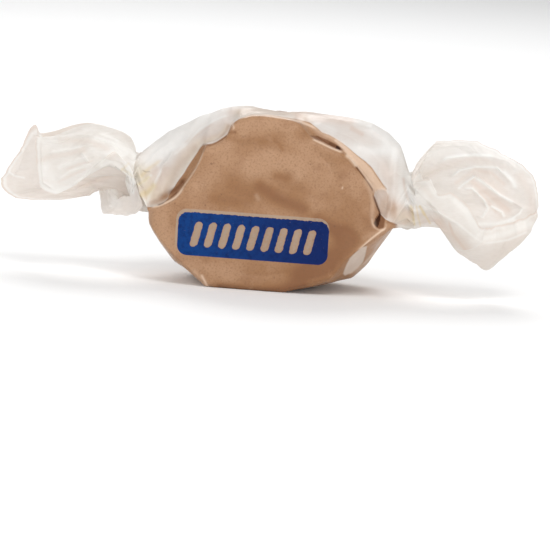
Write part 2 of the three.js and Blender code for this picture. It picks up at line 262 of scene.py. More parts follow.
def crumple(u, v, seed, around):
    """Facets on a lattice bent by smooth waves, in three sizes, each about a third as high."""
    bent_u = u + 0.35 * waves(u, v * 1.3, seed + 1, around)
    bent_v = v + 0.35 * waves(u, v * 1.3, seed + 2, around)
    total = facets(bent_u, bent_v, seed, around)
    total = total + 0.38 * facets(2 * bent_u, 2 * bent_v + 0.4, seed + 3, 2 * around)
    return total + 0.16 * facets(4 * bent_u, 4 * bent_v + 0.7, seed + 4, 4 * around)


# ---------------------------------------------------------------- the view's own axes
def view_axes():
    """The view's directions to the right, up and back to the eye: the eye's direction from
    azimuth and elevation, the level one square to it, and both others turned by the roll."""
    a, e, r = (math.radians(v) for v in (AZIMUTH, ELEVATION, ROLL))
    back = np.array((math.sin(a) * math.cos(e), -math.cos(a) * math.cos(e), math.sin(e)))
    level = np.array((math.cos(a), math.sin(a), 0.0))
    upright = np.cross(back, level)
    right = math.cos(r) * level + math.sin(r) * upright
    up = math.cos(r) * upright - math.sin(r) * level
    return right, up, back


RIGHT, UP, BACK = view_axes()
STEPS_A_MM = VIEW_STEPS / VIEW_WIDTH
VIEW_MIDDLE = VIEW_STEPS / 2
VIEW_DISTANCE = VIEW_WIDTH * LENS / SENSOR


def seen(points):
    """Where points show in the front view: steps from its left and top edges, with nearer
    points further from the view's middle, as the distance over the remaining distance."""
    offset = points - VIEW_POINT
    near = VIEW_DISTANCE / (VIEW_DISTANCE - offset @ BACK)
    across = POINT_PLACE[0] - VIEW_MIDDLE + STEPS_A_MM * (offset @ RIGHT)
    down = POINT_PLACE[1] - VIEW_MIDDLE - STEPS_A_MM * (offset @ UP)
    return VIEW_MIDDLE + near * across, VIEW_MIDDLE + near * down


def placed_at(across, down, y):
    """The place in space that shows at these steps of the view and has this y: the two view
    equations are solved for x and z, three times over to settle the nearness."""
    near = np.ones(np.shape(across))
    turn = RIGHT[0] * UP[2] - RIGHT[2] * UP[0]
    depth = y - VIEW_POINT[1]
    for _ in range(3):
        a = (across - VIEW_MIDDLE) / near + VIEW_MIDDLE - POINT_PLACE[0]
        b = POINT_PLACE[1] - VIEW_MIDDLE - (down - VIEW_MIDDLE) / near
        a = a / STEPS_A_MM - RIGHT[1] * depth
        b = b / STEPS_A_MM - UP[1] * depth
        x = (a * UP[2] - b * RIGHT[2]) / turn
        z = (b * RIGHT[0] - a * UP[0]) / turn
        toward = x * BACK[0] + depth * BACK[1] + z * BACK[2]
        near = VIEW_DISTANCE / (VIEW_DISTANCE - toward)
    return np.stack([x, y, z + VIEW_POINT[2]], -1)


def line_distance(across, down, line):
    """Distance from each place to the nearest point of a chain of straight pieces, and the
    place along the chain from 0 to 1."""
    line = np.asarray(line, float)
    best = np.full(across.shape, 1e9)
    along = np.zeros(across.shape)
    lengths = np.hypot(*(line[1:] - line[:-1]).T)
    total = lengths.sum()
    for k in range(len(line) - 1):
        ex, ey = line[k + 1] - line[k]
        dx, dy = across - line[k][0], down - line[k][1]
        t = np.clip((dx * ex + dy * ey) / (ex * ex + ey * ey), 0.0, 1.0)
        d = np.hypot(dx - t * ex, dy - t * ey)
        near = d < best
        best = np.where(near, d, best)
        along = np.where(near, (lengths[:k].sum() + t * lengths[k]) / total, along)
    return best, along


def inside(across, down, outline, blur):
    """1 inside a closed outline and 0 outside: a place is inside if a ray to its right
    crosses the outline an odd number of times, and the edge is blurred by its distance."""
    line = np.asarray(outline + outline[:1], float)
    odd = np.zeros(across.shape, bool)
    for (x0, y0), (x1, y1) in zip(line[:-1], line[1:]):
        if y0 == y1:
            continue
        crosses = (y0 > down) != (y1 > down)
        odd ^= crosses & (across < x0 + (down - y0) * (x1 - x0) / (y1 - y0))
    distance = line_distance(across, down, line)[0]
    return step(-blur, blur, np.where(odd, distance, -distance))


def strokes(across, down, marks):
    """Sum of strokes (width, strength, line): strength times a bell of the distance over the
    width; narrow ones fade at both ends of the line."""
    total = np.zeros(across.shape)
    for width, strength, line in marks:
        d, t = line_distance(across, down, line)
        ends = step(0.0, 0.12, t) * step(0.0, 0.12, 1.0 - t) if width < 2.0 else 1.0
        total += strength * np.exp(-((d / width) ** 2)) * ends
    return total


def creases(across, down, marks):
    """Sum of folds (width, height, line): height times the exponential of minus the distance
    over the width, which leaves a sharp crest, fading at both ends of the line."""
    total = np.zeros(across.shape)
    for width, height, line in marks:
        d, t = line_distance(across, down, line)
        ends = step(0.0, 0.15, t) * step(0.0, 0.15, 1.0 - t)
        total += height * np.exp(-d / width) * ends
    return total


# ---------------------------------------------------------------- the paper's forms
def body_net(x):
    """48 points round the wrapped chew at every station x: up the flat front, over the lip,
    the pressed groove and the rim, over the top by a quarter sine each way, down the back
    and under by quarter sines."""
    scale = look(DEPTH, x) / HALF_DEPTH
    front_top, front_bottom = look(FRONT_TOP, x), look(FRONT_BOTTOM, x)
    back_top, back_bottom = look(BACK_TOP, x), look(BACK_BOTTOM, x)
    ridge_top, ridge_bottom = look(RIDGE_TOP, x), look(RIDGE_BOTTOM, x)
    band_top = np.maximum(look(BAND_TOP, x), lerp(front_top, ridge_top, look(BAND_RISE, x)))
    lip_top = lerp(front_top, ridge_top, look(LIP_RISE, x))
    groove_top = lerp(lip_top, band_top, GROOVE_SHARE) - look(GROOVE_DEPTH, x)
    around = np.minimum(EDGE_ROUND, 0.3 * (front_top - front_bottom))
    ring = []

    def add(y, z):
        ring.append(np.stack([x, y * scale, z + 0.0 * x], -1))

    def across(y0, z0, y1, z1, count, ease):
        for k in range(1, count + 1):
            s = k / count
            add(lerp(y0, y1, s), lerp(z0, z1, ease(s)))

    def straight(s):
        return s

    def to_crown(s):
        return math.sin(s * math.pi / 2)

    def from_crown(s):
        return 1.0 - math.cos(s * math.pi / 2)

    half = HALF_DEPTH
    add(-half, front_bottom + around)
    across(-half, front_bottom + around, -half, front_top - around, 10, straight)
    add(-half + EDGE_ROUND, front_top)
    add(-LIP_Y, lip_top)
    add(-GROOVE_Y, groove_top)
    add(-BAND_Y, band_top)
    across(-BAND_Y, band_top, 0.0, ridge_top, 3, to_crown)
    across(0.0, ridge_top, BAND_Y, lerp(back_top, ridge_top, BACK_BAND), 3, from_crown)
    add(GROOVE_Y, lerp(back_top, ridge_top, BACK_GROOVE))
    add(LIP_Y, lerp(back_top, ridge_top, BACK_LIP))
    add(half - EDGE_ROUND, back_top)
    add(half, back_top - around)
    across(half, back_top - around, half, back_bottom + around, 10, straight)
    add(half - EDGE_ROUND, back_bottom)
    across(half - EDGE_ROUND, back_bottom, 0.0, ridge_bottom, 6, to_crown)
    across(0.0, ridge_bottom, -half + EDGE_ROUND, front_bottom, 6, from_crown)
    return np.stack(ring[:RING_COLUMNS], 1)


def columns_at(counts):
    """Fractional columns, with a given number of steps in each of the 48 columns."""
    return np.concatenate([k + np.arange(n) / n for k, n in enumerate(counts)])


def refine(net, columns):
    """Straight lines between neighbouring points of a ring, at fractional columns."""
    low = np.floor(columns).astype(int)
    share = (columns - low)[None, :, None]
    return lerp(net[:, low % RING_COLUMNS], net[:, (low + 1) % RING_COLUMNS], share)


def neck_ring(x, radius, turned, columns):
    """A circle round the twist axis with a cosine ripple of 12 pleats."""
    angle = (columns - FRONT_COLUMN + turned) / RING_COLUMNS * 2 * math.pi
    r = radius + PLEAT_HEIGHT * np.cos(PLEATS * columns / RING_COLUMNS * 2 * math.pi)
    return np.stack([x + 0 * r, -r * np.cos(angle), NECK_Z + r * np.sin(angle)], -1)


def loop_at(rows, column):
    """Points of a loop at fractional columns: straight lines between its rows."""
    rows = np.asarray(rows, float)
    return placed_at(*(np.interp(column, rows[:, 0], rows[:, k], period=RING_COLUMNS)
                       for k in (1, 2, 3)))


def curve_piece(p0, p1, p2, p3, t):
    """One span of a centripetal Catmull-Rom curve from p1 to p2, t from 0 to 1."""
    def gap(a, b):
        return np.maximum(np.linalg.norm(b - a, axis=-1, keepdims=True) ** 0.5, 1e-4)

    d0, d1, d2 = gap(p0, p1), gap(p1, p2), gap(p2, p3)
    t1 = ((p1 - p0) / d0 - (p2 - p0) / (d0 + d1) + (p2 - p1) / d1) * d1
    t2 = ((p2 - p1) / d1 - (p3 - p1) / (d1 + d2) + (p3 - p2) / d2) * d1
    c2 = -3 * p1 + 3 * p2 - 2 * t1 - t2
    c3 = 2 * p1 - 2 * p2 + t1 + t2
    t = t[:, None, None]
    return p1[None] + t * t1[None] + t * t * c2[None] + t * t * t * c3[None]


def columns_apart(column, middle):
    """Columns from a middle one to another, counted the shorter way round."""
    half = RING_COLUMNS / 2
    return (column - middle + half) % RING_COLUMNS - half


def between_loop(first, last, column, share, middle, width, rise):
    """A loop at a share of the way between two others, raised by a bell of the distance from
    its middle column."""
    loop = lerp(first, last, share)
    loop[:, 2] += rise * np.exp(-((columns_apart(column, middle) / width) ** 2))
    return loop


def fan_net(neck_x, waist_x, out, loops, extra, columns, rows):
    """Rings of a fan from its waist to its free edge: each column follows one smooth curve
    through neck, waist and the named loops, with rows shared out by length. The first rows
    close the twisted waist with a low pleated cone."""
    at = (columns - FRONT_COLUMN + WAIST_TURN) % RING_COLUMNS
    knots = [neck_ring(neck_x, NECK_R, NECK_TURN, columns),
             neck_ring(waist_x, WAIST_R, WAIST_TURN, columns)]
    named = [soften(loop_at(loop, at), 3, 0, True) for loop in loops]
    knots += named[:-1] + [between_loop(named[-2], named[-1], at, *row) for row in extra]
    knots.append(named[-1])
    knots.append(2 * knots[-1] - knots[-2])
    lengths = [np.linalg.norm(b - a, axis=-1).mean() for a, b in zip(knots[1:-2], knots[2:-1])]
    t = (np.arange(CAP_ROWS) / CAP_ROWS)[:, None]
    r = lerp(CAP_HOLE, 1.0, t)
    waist = knots[1][None]
    fold = np.sin(columns / RING_COLUMNS * 2 * math.pi * CAP_FOLDS + 5.0 * t)
    swirl = CAP_FOLD_HEIGHT * fold * t * (1.0 - t)
    cone_x = waist[..., 0] + out * (CAP_RISE * (1.0 - t) + swirl)
    cone = np.stack([cone_x, waist[..., 1] * r, NECK_Z + (waist[..., 2] - NECK_Z) * r], -1)
    net = [cone]
    for k, length in enumerate(lengths):
        count = int(round(rows * length / sum(lengths)))
        t = np.arange(count) / count
        net.append(curve_piece(*knots[k:k + 4], t))
    net.append(knots[-2][None])
    return np.concatenate(net)


def outward(grid):
    """Unit normals of a tube: the cross product of its directions along and around."""
    along = np.gradient(grid, axis=0)
    around = np.roll(grid, -1, 1) - np.roll(grid, 1, 1)
    normal = np.cross(along, around)
    return normal / np.maximum(np.linalg.norm(normal, axis=-1, keepdims=True), 1e-9)


def tube_faces(rows, count):
    """Four-sided faces between neighbouring rings, closed round their columns."""
    i, j = np.meshgrid(np.arange(rows - 1), np.arange(count), indexing="ij")
    nxt = (j + 1) % count
    corners = i * count + j, (i + 1) * count + j, (i + 1) * count + nxt, i * count + nxt
    return np.stack(corners, -1).reshape(-1, 4).tolist()


def pole_faces(start, tip, count, first):
    """Triangles from a ring to the point that closes it, turned outwards at either end."""
    ring, after = start + np.arange(count), start + (np.arange(count) + 1) % count
    tips = np.full(count, tip)
    return np.stack((tips, ring, after) if first else (ring, tips, after), -1).tolist()


def add_piece(name, points, faces, node):
    """A smooth mesh that rides on the root and stands in for one node of the frame."""
    mesh = bpy.data.meshes.new(name)
    mesh.from_pydata((points + MIDDLE) * MM, [], faces)
    mesh.polygons.foreach_set("use_smooth", np.ones(len(faces), bool))
    mesh.update()
    piece = bpy.data.objects.new(name, mesh)
    bpy.context.scene.collection.objects.link(piece)
    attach(piece, "root")
    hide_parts(node)
    return mesh


def paper_piece(name, grid, paints, pole=None):
    """A tube from rings of points, with painted values a vertex. A pole closes its first or
    last ring by triangles to the ring's middle."""
    rows, count = grid.shape[:2]
    faces = tube_faces(rows, count)
    points = grid.reshape(-1, 3)
    if pole is not None:
        start = 0 if pole == "first" else (rows - 1) * count
        faces += pole_faces(start, rows * count, count, pole == "first")
        points = np.concatenate([points, points[start:start + count].mean(0)[None]])
    mesh = add_piece(name, points, faces, "wrapper")
    for key, value in paints.items():
        value = np.clip(value, 0.0, 1.0).astype(np.float32).ravel()
        if pole is not None:
            value = np.append(value, value[0 if pole == "first" else -1])
        mesh.attributes.new(key, "FLOAT", "POINT").data.foreach_set("value", value)


def ring_angle(grid):
    """Turn round the twist axis as a share of a full turn, 0 in front."""
    return np.arctan2(grid[..., 2] - NECK_Z, -grid[..., 1]) / (2 * math.pi)


# ---------------------------------------------------------------- body of the wrapper
BODY_COLUMNS = columns_at([12] * 10 + [14] * 4 + [10] * 6 + [4] * 4 + [3] * 12 + [4] * 8 + [6] * 4)
BODY_STATIONS = 240
# rings between waist, neck and body on either side, and how fast the sides draw in: the power
# of the share of the way for the lower half, which draws in at once, and for the upper one
LEFT_RINGS = (4, 15)
RIGHT_RINGS = (13, 6)
DRAW_IN_LOW, DRAW_IN_HIGH = 7.0, 0.85


def body_grid():
    """Rings of points from the left waist through both necks to the right one, with the
    wrapped chew between them, softened a little round and along."""
    x = np.linspace(-BODY_END, BODY_END, BODY_STATIONS)
    body = refine(body_net(x), BODY_COLUMNS)
    left = neck_ring(NECK_LEFT_X, NECK_R, NECK_TURN, BODY_COLUMNS)
    right = neck_ring(NECK_RIGHT_X, NECK_R, NECK_TURN, BODY_COLUMNS)
    left_waist = neck_ring(WAIST_LEFT_X, WAIST_R, WAIST_TURN, BODY_COLUMNS)
    right_waist = neck_ring(WAIST_RIGHT_X, WAIST_R, WAIST_TURN, BODY_COLUMNS)

    def between(a, b, count, power=1.0):
        """Rings from a up to b: even steps in x, and a share s to the given power in y, z."""
        share = (np.arange(count) / count)[:, None] + 0.0 * BODY_COLUMNS
        return lerp(a[None], b[None], np.stack([share, share ** power, share ** power], -1))

    upper = step(5.0, 9.0, BODY_COLUMNS) * (1.0 - step(35.0, 40.0, BODY_COLUMNS))
    grid = np.concatenate([
        between(left_waist, left, LEFT_RINGS[0]),
        between(left, body[0], LEFT_RINGS[1], lerp(DRAW_IN_LOW, DRAW_IN_HIGH, upper)),
        body,
        between(body[-1], right, RIGHT_RINGS[0])[1:],
        between(right, right_waist, RIGHT_RINGS[1]),
        right_waist[None],
    ])
    inner = soften(soften(grid, 3, 1, True), 2, 0, False)
    inner[0], inner[-1] = grid[0], grid[-1]
    return inner


# Marks on the paper, all drawn in steps of the front view. Here the paper is pressed on the
# chew in front.
TAN_AREA = [
    (146, 207), (153, 206.5), (158, 205.5), (163, 203.5), (168, 198), (169, 194), (171, 190.5),
    (174, 187.5), (176.5, 183), (179, 179.5), (184, 173), (187.5, 167), (191, 161.5), (195, 156),
    (200, 148.5), (203, 145), (207, 145), (212, 144), (217, 141.5), (222, 138), (227, 134),
    (229, 129.5), (231, 124.5), (235, 121), (240, 117.5), (252, 114), (272, 115), (292, 118),
    (302, 119.5), (310, 122.5), (317, 128), (322, 132.5), (330, 135.5), (336, 139), (345, 145),
    (350, 149), (358, 156), (366, 162), (372, 168), (380, 180), (387, 190), (384, 188.5),
    (380, 188), (375, 191), (374, 195), (377, 203), (380, 213), (385, 219), (391, 222),
    (397, 224), (410, 232), (410, 310), (110, 310), (110, 207),
]
GREY_FLAP = [
    (374, 192), (377, 189), (381, 188), (385, 190), (389, 196), (389.5, 208), (387, 219),
    (383, 216.5), (380, 213), (377, 205), (375, 198),
]
LOOSE_PATCH = [
    (343, 274), (346, 266), (350, 258), (357, 251), (362, 247), (367, 246), (365, 256),
    (363, 262), (358, 268), (352, 273), (345, 276),
]
BLUSH = [
    (234, 122), (238, 112), (250, 107), (275, 107), (300, 112), (308, 119), (312, 126),
    (310, 124), (292, 121), (262, 116),
]
# paper that clings loosely and lets some tan through
CLINGING = [
    (4, 0.2, [(298, 114), (324, 119)]),
    (6, 0.36, [(164, 194), (170, 184), (180, 169), (188, 157), (195, 149)]),
    (2.5, 0.42, [(209, 143.5), (215, 141.5), (220, 138), (226, 132), (228.5, 126)]),
    (6, 0.08, [(172, 168), (186, 148), (206, 134), (226, 120)]),
    (3, 0.14, [(148, 176), (155, 168)]),
    (4.5, 0.5, [(150, 203), (158, 201), (167, 196)]),
    (9, 0.5, [(384, 206), (398, 215), (406, 219)]),
    (5, 0.22, [(382, 172), (390, 192), (396, 206)]),
]
# folds (width, height, line), in pressed and in free paper
FACE_FOLDS = [
    (3.5, 0.1, [(214, 146), (232, 138), (250, 139), (268, 141), (286, 151), (291, 166)]),
    (3.5, -0.07, [(232, 144), (252, 146), (270, 149), (282, 158)]),
    (3.5, -0.06, [(262, 178), (276, 184), (292, 190), (306, 196)]),
    (3, 0.12, [(276, 156), (292, 172), (300, 186)]),
    (2.2, 0.2, [(340, 262), (352, 250), (366, 241), (376, 232)]),
    (2, 0.14, [(345, 275), (356, 262), (369, 246)]),
    (2.5, 0.12, [(200, 165), (215, 152), (230, 148)]),
    (4, -0.14, [(316, 152), (330, 165), (336, 180)]),
    (3.5, 0.12, [(206, 196), (240, 200), (270, 196), (290, 200)]),
    (3, -0.12, [(236, 272), (262, 276), (292, 272)]),
]
PAPER_FOLDS = [
    (4, 0.24, [(170, 160), (190, 145), (212, 130), (232, 120)]),
    (3, 0.22, [(150, 190), (163, 170), (176, 150)]),
    (2.5, 0.2, [(141, 170), (158, 152), (180, 137)]),
    (3, 0.16, [(336, 118), (352, 126), (372, 130), (393, 145)]),
    (3, 0.16, [(356, 146), (372, 150), (384, 162), (394, 186)]),
    (2.2, 0.22, [(147, 205), (150, 194), (157, 180), (165, 166), (176, 150)]),
    (2, 0.15, [(136, 190), (146, 182), (156, 173), (168, 162)]),
    (2, -0.15, [(137, 195), (148, 190), (156, 184)]),
]
# painted lines (width, strength, line) and areas: painted highlights along fold edges and lips,
# with one light speck and one pale spot among them
EDGE_HIGHLIGHTS_AND_SPECKS = [
    (2, 0.45, [(303, 122), (312, 127), (320, 132), (334, 139)]),
    (1.1, 1.1, [(150, 208), (159, 206), (165, 203.5), (170, 201), (175, 198), (180, 193),
                (184, 187)]),
    (0.8, 0.5, [(181, 191), (190, 177.5), (195, 170), (200, 161), (204, 151)]),
    (1, 0.9, [(238, 119), (252, 115), (262, 114.8), (272, 116), (292, 119.5), (300, 121.5),
              (310, 125.5), (319, 130)]),
    (0.8, 0.9, [(311, 139), (316, 141), (322, 143.8), (330, 147.8), (343, 153.5)]),
    (1.9, 0.9, [(345, 154.5), (350, 158.5), (357, 167)]),
    (2.2, 0.3, [(366, 180), (371, 192), (373, 204), (372, 216), (374, 226)]),
    (0.8, 0.42, [(371.8, 217), (372.3, 223.5), (375, 228), (379, 230.2), (384.5, 230),
                 (386.3, 226), (386, 221)]),
    (1, 0.9, [(387, 227), (380, 232), (370, 239.5), (363, 246), (357, 251)]),
    (2.5, 0.12, [(364, 238), (374, 234), (381, 231)]),
    (1.2, 0.9, [(341.6, 187.4), (343.4, 187.9)]),
    (2.2, 0.22, [(256.5, 195.5), (258.5, 199)]),
    (0.9, 0.9, [(231, 121), (233, 125), (234, 129.5)]),
    (0.8, 0.7, [(372, 193), (377, 189), (381, 188), (387, 190)]),
    (1.2, 0.8, [(201, 274), (204, 280), (208, 288)]),
    (3, 0.25, [(194, 272), (201, 281), (206, 288)]),
    (1, 0.45, [(376, 251), (370, 257), (362, 265), (355, 271), (347, 276)]),
]
# painted light: the rim band at the upper right, drawn lighter where it faces the light
PAINTED_LIT_BAND = [
    (336, 138.5), (340, 141), (350, 149.5), (358, 157), (366, 163.5), (372, 170), (380, 182),
    (386, 190), (376, 190), (373.5, 190), (366, 178.5), (356, 165.5), (346, 153.5), (338, 144),
    (334, 141),
]
# painted shade along grooves, folds and the face's lower edges, with one short dark fibre at the
# left neck (width, strength, line)
SHADE_LINES_AND_FIBRE = [
    (3.5, 0.6, [(171, 192), (178, 188), (182, 182)]),
    (2.5, 0.2, [(183, 181), (190, 171), (196, 160)]),
    (1, 0.5, [(156, 205), (162, 203), (170, 198.5), (179, 191)]),
    (1.5, 0.15, [(328, 142.5), (334, 145.5), (340, 149)]),
    (1.4, 0.45, [(336, 146.5), (340.5, 149.5)]),
    (1, 0.75, [(354, 165), (360, 172), (366, 180), (370, 186), (374, 193)]),
    (1.1, 0.85, [(372.5, 194.5), (375, 200), (377, 206), (381, 215)]),
    (1, 0.45, [(205, 146), (212, 145), (217, 142.5), (222, 139.5), (228, 134)]),
    (1.5, 0.5, [(228, 132), (232, 132.5), (237, 132)]),
    (0.8, 0.35, [(141, 170), (146, 172), (155, 171)]),
    (0.9, 0.4, [(386, 221), (392, 224), (398, 225)]),
]
# painted shade: the wedge in the upper right groove and the pocket by the right neck
SHADE_AREAS = [
    (0.62, [(309, 135.5), (318, 136), (326, 139.5), (334, 143), (341, 147), (345, 150),
            (341, 151), (336, 149), (330, 146), (322, 142), (315, 139.5)]),
    (0.62, [(380, 213), (385.5, 219), (384.7, 223), (383.7, 228.3), (379, 229), (375, 226.5),
            (373.5, 223.5), (375, 219)]),
    (0.5, [(379, 213), (381, 215), (379.5, 222), (377.5, 227.5), (374, 224), (375, 219)]),
]
# tone of the pressed paper, carrying painted shade towards the bottom edge and the lower right and
# painted light towards the top and the left: above nothing darker, below nothing lighter
FACE_TONE_LIGHT_AND_SHADE = [
    (7, 0.32, [(260, 186), (274, 196), (288, 203), (304, 209)]),
    (14, 0.12, [(266, 192), (300, 206)]),
    (8, 0.25, [(250, 196), (232, 186)]),
    (2.5, 0.15, [(226, 138), (240, 141), (254, 139), (265, 141)]),
    (4, 0.05, [(236, 143), (262, 144)]),
    (1.5, 0.3, [(272, 139), (279, 144), (284, 152)]),
    (5, 0.3, [(276, 176), (286, 178)]),
    (8, 0.45, [(318, 220), (340, 232)]),
    (6, -0.22, [(290, 140), (306, 146)]),
    (13, 0.52, [(350, 238), (340, 252), (318, 268), (300, 274)]),
    (7, 0.5, [(222, 288), (260, 293), (300, 288)]),
    (6, 0.15, [(374, 228), (362, 215), (356, 204)]),
    (4, 0.1, [(228, 137), (236, 133)]),
    (6, 0.25, [(214, 198), (236, 202)]),
    (9, -0.45, [(244, 126), (275, 123), (290, 126)]),
    (9, 0.15, [(345, 190), (350, 215)]),
    (8, -0.15, [(206, 184), (222, 160)]),
    (4, -0.35, [(210, 150), (226, 146)]),
    (9, -0.4, [(252, 166), (272, 158), (296, 164), (300, 172)]),
    (12, -0.45, [(158, 218), (166, 243), (180, 262)]),
    (7, 0.5, [(312, 268), (326, 266)]),
    (7, -0.25, [(200, 266), (226, 272)]),
]
# beige on free paper: tan showing through where it lies close, and painted shade along folds
BEIGE_AND_SHADE_PAPER = [
    (13, 0.6, [(147, 158), (152, 178), (156, 192)]),
    (4, 0.9, [(300, 116), (320, 118.5)]),
    (3, 0.7, [(206, 141), (222, 134), (229, 126)]),
    (6, 0.6, [(141, 188), (149, 198)]),
    (5, 0.8, [(222, 112), (250, 109), (300, 114), (350, 121)]),
    (8, 0.75, [(158, 196), (168, 178), (180, 160), (200, 140), (226, 120)]),
    (4, 0.5, [(148, 196), (156, 186), (166, 170)]),
    (3.5, 0.7, [(148, 178), (155, 170)]),
    (12, 0.5, [(314, 120), (345, 130), (370, 145), (388, 172)]),
    (9, 0.9, [(388, 206), (398, 214)]),
    (2, 0.8, [(352, 129), (362, 134)]),
    (1.5, 0.6, [(372, 131), (384, 138), (393, 146)]),
    (6, 0.3, [(384, 168), (392, 186), (400, 206)]),
    (8, 0.7, [(392, 214), (404, 216), (418, 222)]),
    (3, 0.6, [(394, 222), (404, 222), (412, 210)]),
    (1.5, 0.7, [(403, 176), (405, 190), (409, 202)]),
    (1, 0.8, [(376, 189), (384, 187), (389, 198), (389, 211), (385, 221)]),
    (1.5, 0.5, [(175, 152), (196, 136), (216, 122)]),
    (1.2, 0.5, [(140, 178), (150, 168), (164, 158)]),
]
# painted light: highlights and sheen on free paper, and lighter strokes over shaded folds at the
# necks
PAINTED_LIGHT_LINES = [
    (4, 0.5, [(316, 124), (332, 130)]),
    (3, 0.8, [(407, 172), (410, 184), (412, 198)]),
    (6, 1, [(356, 149), (368, 152), (388, 150), (395, 151)]),
    (3.5, 1, [(374, 130), (382, 136), (390, 142)]),
    (2.5, 0.9, [(168, 153), (176, 148), (184, 145)]),
    (8, 0.9, [(146, 162), (166, 146), (188, 130), (208, 117), (222, 112)]),
    (1, 0.6, [(170, 159), (185, 147), (200, 129), (215, 120), (230, 114)]),
    (1.5, 0.9, [(137, 186), (146, 180), (153, 174)]),
    (1.5, 0.8, [(147, 206), (150, 194), (157, 180), (163, 168)]),
    (2, 0.9, [(409, 186), (412, 196), (414, 202)]),
    (1.2, 0.8, [(138, 196), (143, 200), (147, 203)]),
]
WARM_PAPER = [
    (7, 0.4, [(163, 196), (172, 180), (184, 163), (198, 146)]),
    (3, 0.35, [(207, 142), (220, 137), (228, 127)]),
    (7, 0.3, [(386, 206), (398, 216), (410, 220)]),
    (6, 0.35, [(240, 113), (262, 111), (290, 114), (304, 118)]),
    (9, 0.45, [(140, 172), (148, 188), (153, 200)]),
    (1.5, 0.6, [(136, 186), (144, 181), (151, 176)]),
    (2.6, 0.9, [(140, 196), (148, 192), (154, 186)]),
    (2, 0.5, [(141, 176), (150, 168), (158, 162)]),
    (1.5, 0.8, [(410, 204), (413, 214), (415, 226)]),
]


# heights of the relief: pleats, broad and fine crumples in free paper, then low waves and
# fine crumples on the chew
FREE_PLEATS, FREE_BROAD, FREE_FINE = 0.11, 0.16, 0.04
PRESSED_WAVES, PRESSED_FINE = 0.07, 0.016
PLEAT_REACH = 4.0
SPIRAL = 0.02
# columns: where the front's rim ends, where the front view stops seeing the top, and where
# the lower side starts, on which the last few painted edge highlights show
RIM_END = 14.6
SEEN_END = 20.0
LOWER_START = 36.0
LOWER_EDGES = 5


def body_contact(columns, x, across, down):
    """How closely the paper lies on the chew, from 0 to 1: the tan area in front, a value for
    each column over the top, the back and below, and nothing at the necks. It comes with the
    shares of the loose patch and of the grey flap."""
    facing = (columns < RIM_END + 1.2 * (x > 4.0)) | (columns > 33.5)
    pressed = np.interp(columns, [14.0, RIM_END, 18.5, 21, 34, 48],
                        [0.3, 0.2, 0.16, 0.7, 0.85, 1.0])
    top_side = (columns > 14.0) & (columns < 21.5)
    shoulder = 1.0 - 0.75 * step(6.0, 12.0, np.abs(x))
    pressed = np.where(top_side, pressed * shoulder, pressed)
    pressed = np.where(facing, inside(across, down, TAN_AREA, 0.8), pressed)
    pressed = np.where(facing, np.maximum(pressed, 0.16 * (columns < RIM_END)), pressed)
    blush = 0.36 * inside(across, down, BLUSH, 3.0) + strokes(across, down, CLINGING)
    pressed = np.maximum(pressed, blush * (columns < SEEN_END))
    loose = inside(across, down, LOOSE_PATCH, 0.9) * ((columns < 11) | (columns > LOWER_START))
    grey = inside(across, down, GREY_FLAP, 0.9) * (columns < 21)
    pressed = pressed * (1.0 - 0.6 * loose)
    low_front = (columns < 8.0) | (columns > 38.0)
    ends = step(-16.6, -16.1, x + 0.2 * low_front) * step(-17.0, -16.0, -x)
    return np.maximum(pressed * ends, 0.46 * grey), loose, grey


def body_relief(grid, columns, pressed, from_neck, across, down):
    """Height of the paper over its smooth form: in free paper long pleats that fade away from
    the necks, broad and fine crumples and drawn folds, on the chew low waves and the face's
    own folds. The pleats are returned too."""
    x, y, z = grid[..., 0], grid[..., 1], grid[..., 2]
    right = x > 0
    free = 1.0 - pressed
    spiral = ring_angle(grid) + SPIRAL * np.sign(x) * from_neck
    pleats = facets(spiral * 17.0 + 40.0, from_neck * 0.16 + np.where(right, 7.0, 0.0), 5, 17)
    broad = crumple(spiral * 13.0 + 26.0, from_neck * 0.30 + np.where(right, 9.0, 0.0), 11, 13)
    fine = crumple(spiral * 29.0 + 58.0, x * 0.9, 23, 29)
    near = np.exp(-from_neck / PLEAT_REACH) * step(0.0, 1.2, from_neck + 0.3)
    smooth_right = 1.0 - 0.7 * step(2.0, 8.0, x)
    crumpled = FREE_PLEATS * pleats * near + FREE_BROAD * broad + FREE_FINE * fine
    low = PRESSED_WAVES * waves(x * 0.35, z * 0.35 + y * 0.2, 31) + PRESSED_FINE * fine
    relief = free * smooth_right * crumpled + pressed * low
    relief = relief + np.where(columns < 10.5, creases(across, down, FACE_FOLDS), 0.0)
    loose_front = (columns < 21.5) | (columns > 42)
    folds = creases(across, down, PAPER_FOLDS) * free
    return relief + np.where(loose_front, folds, 0.0), pleats


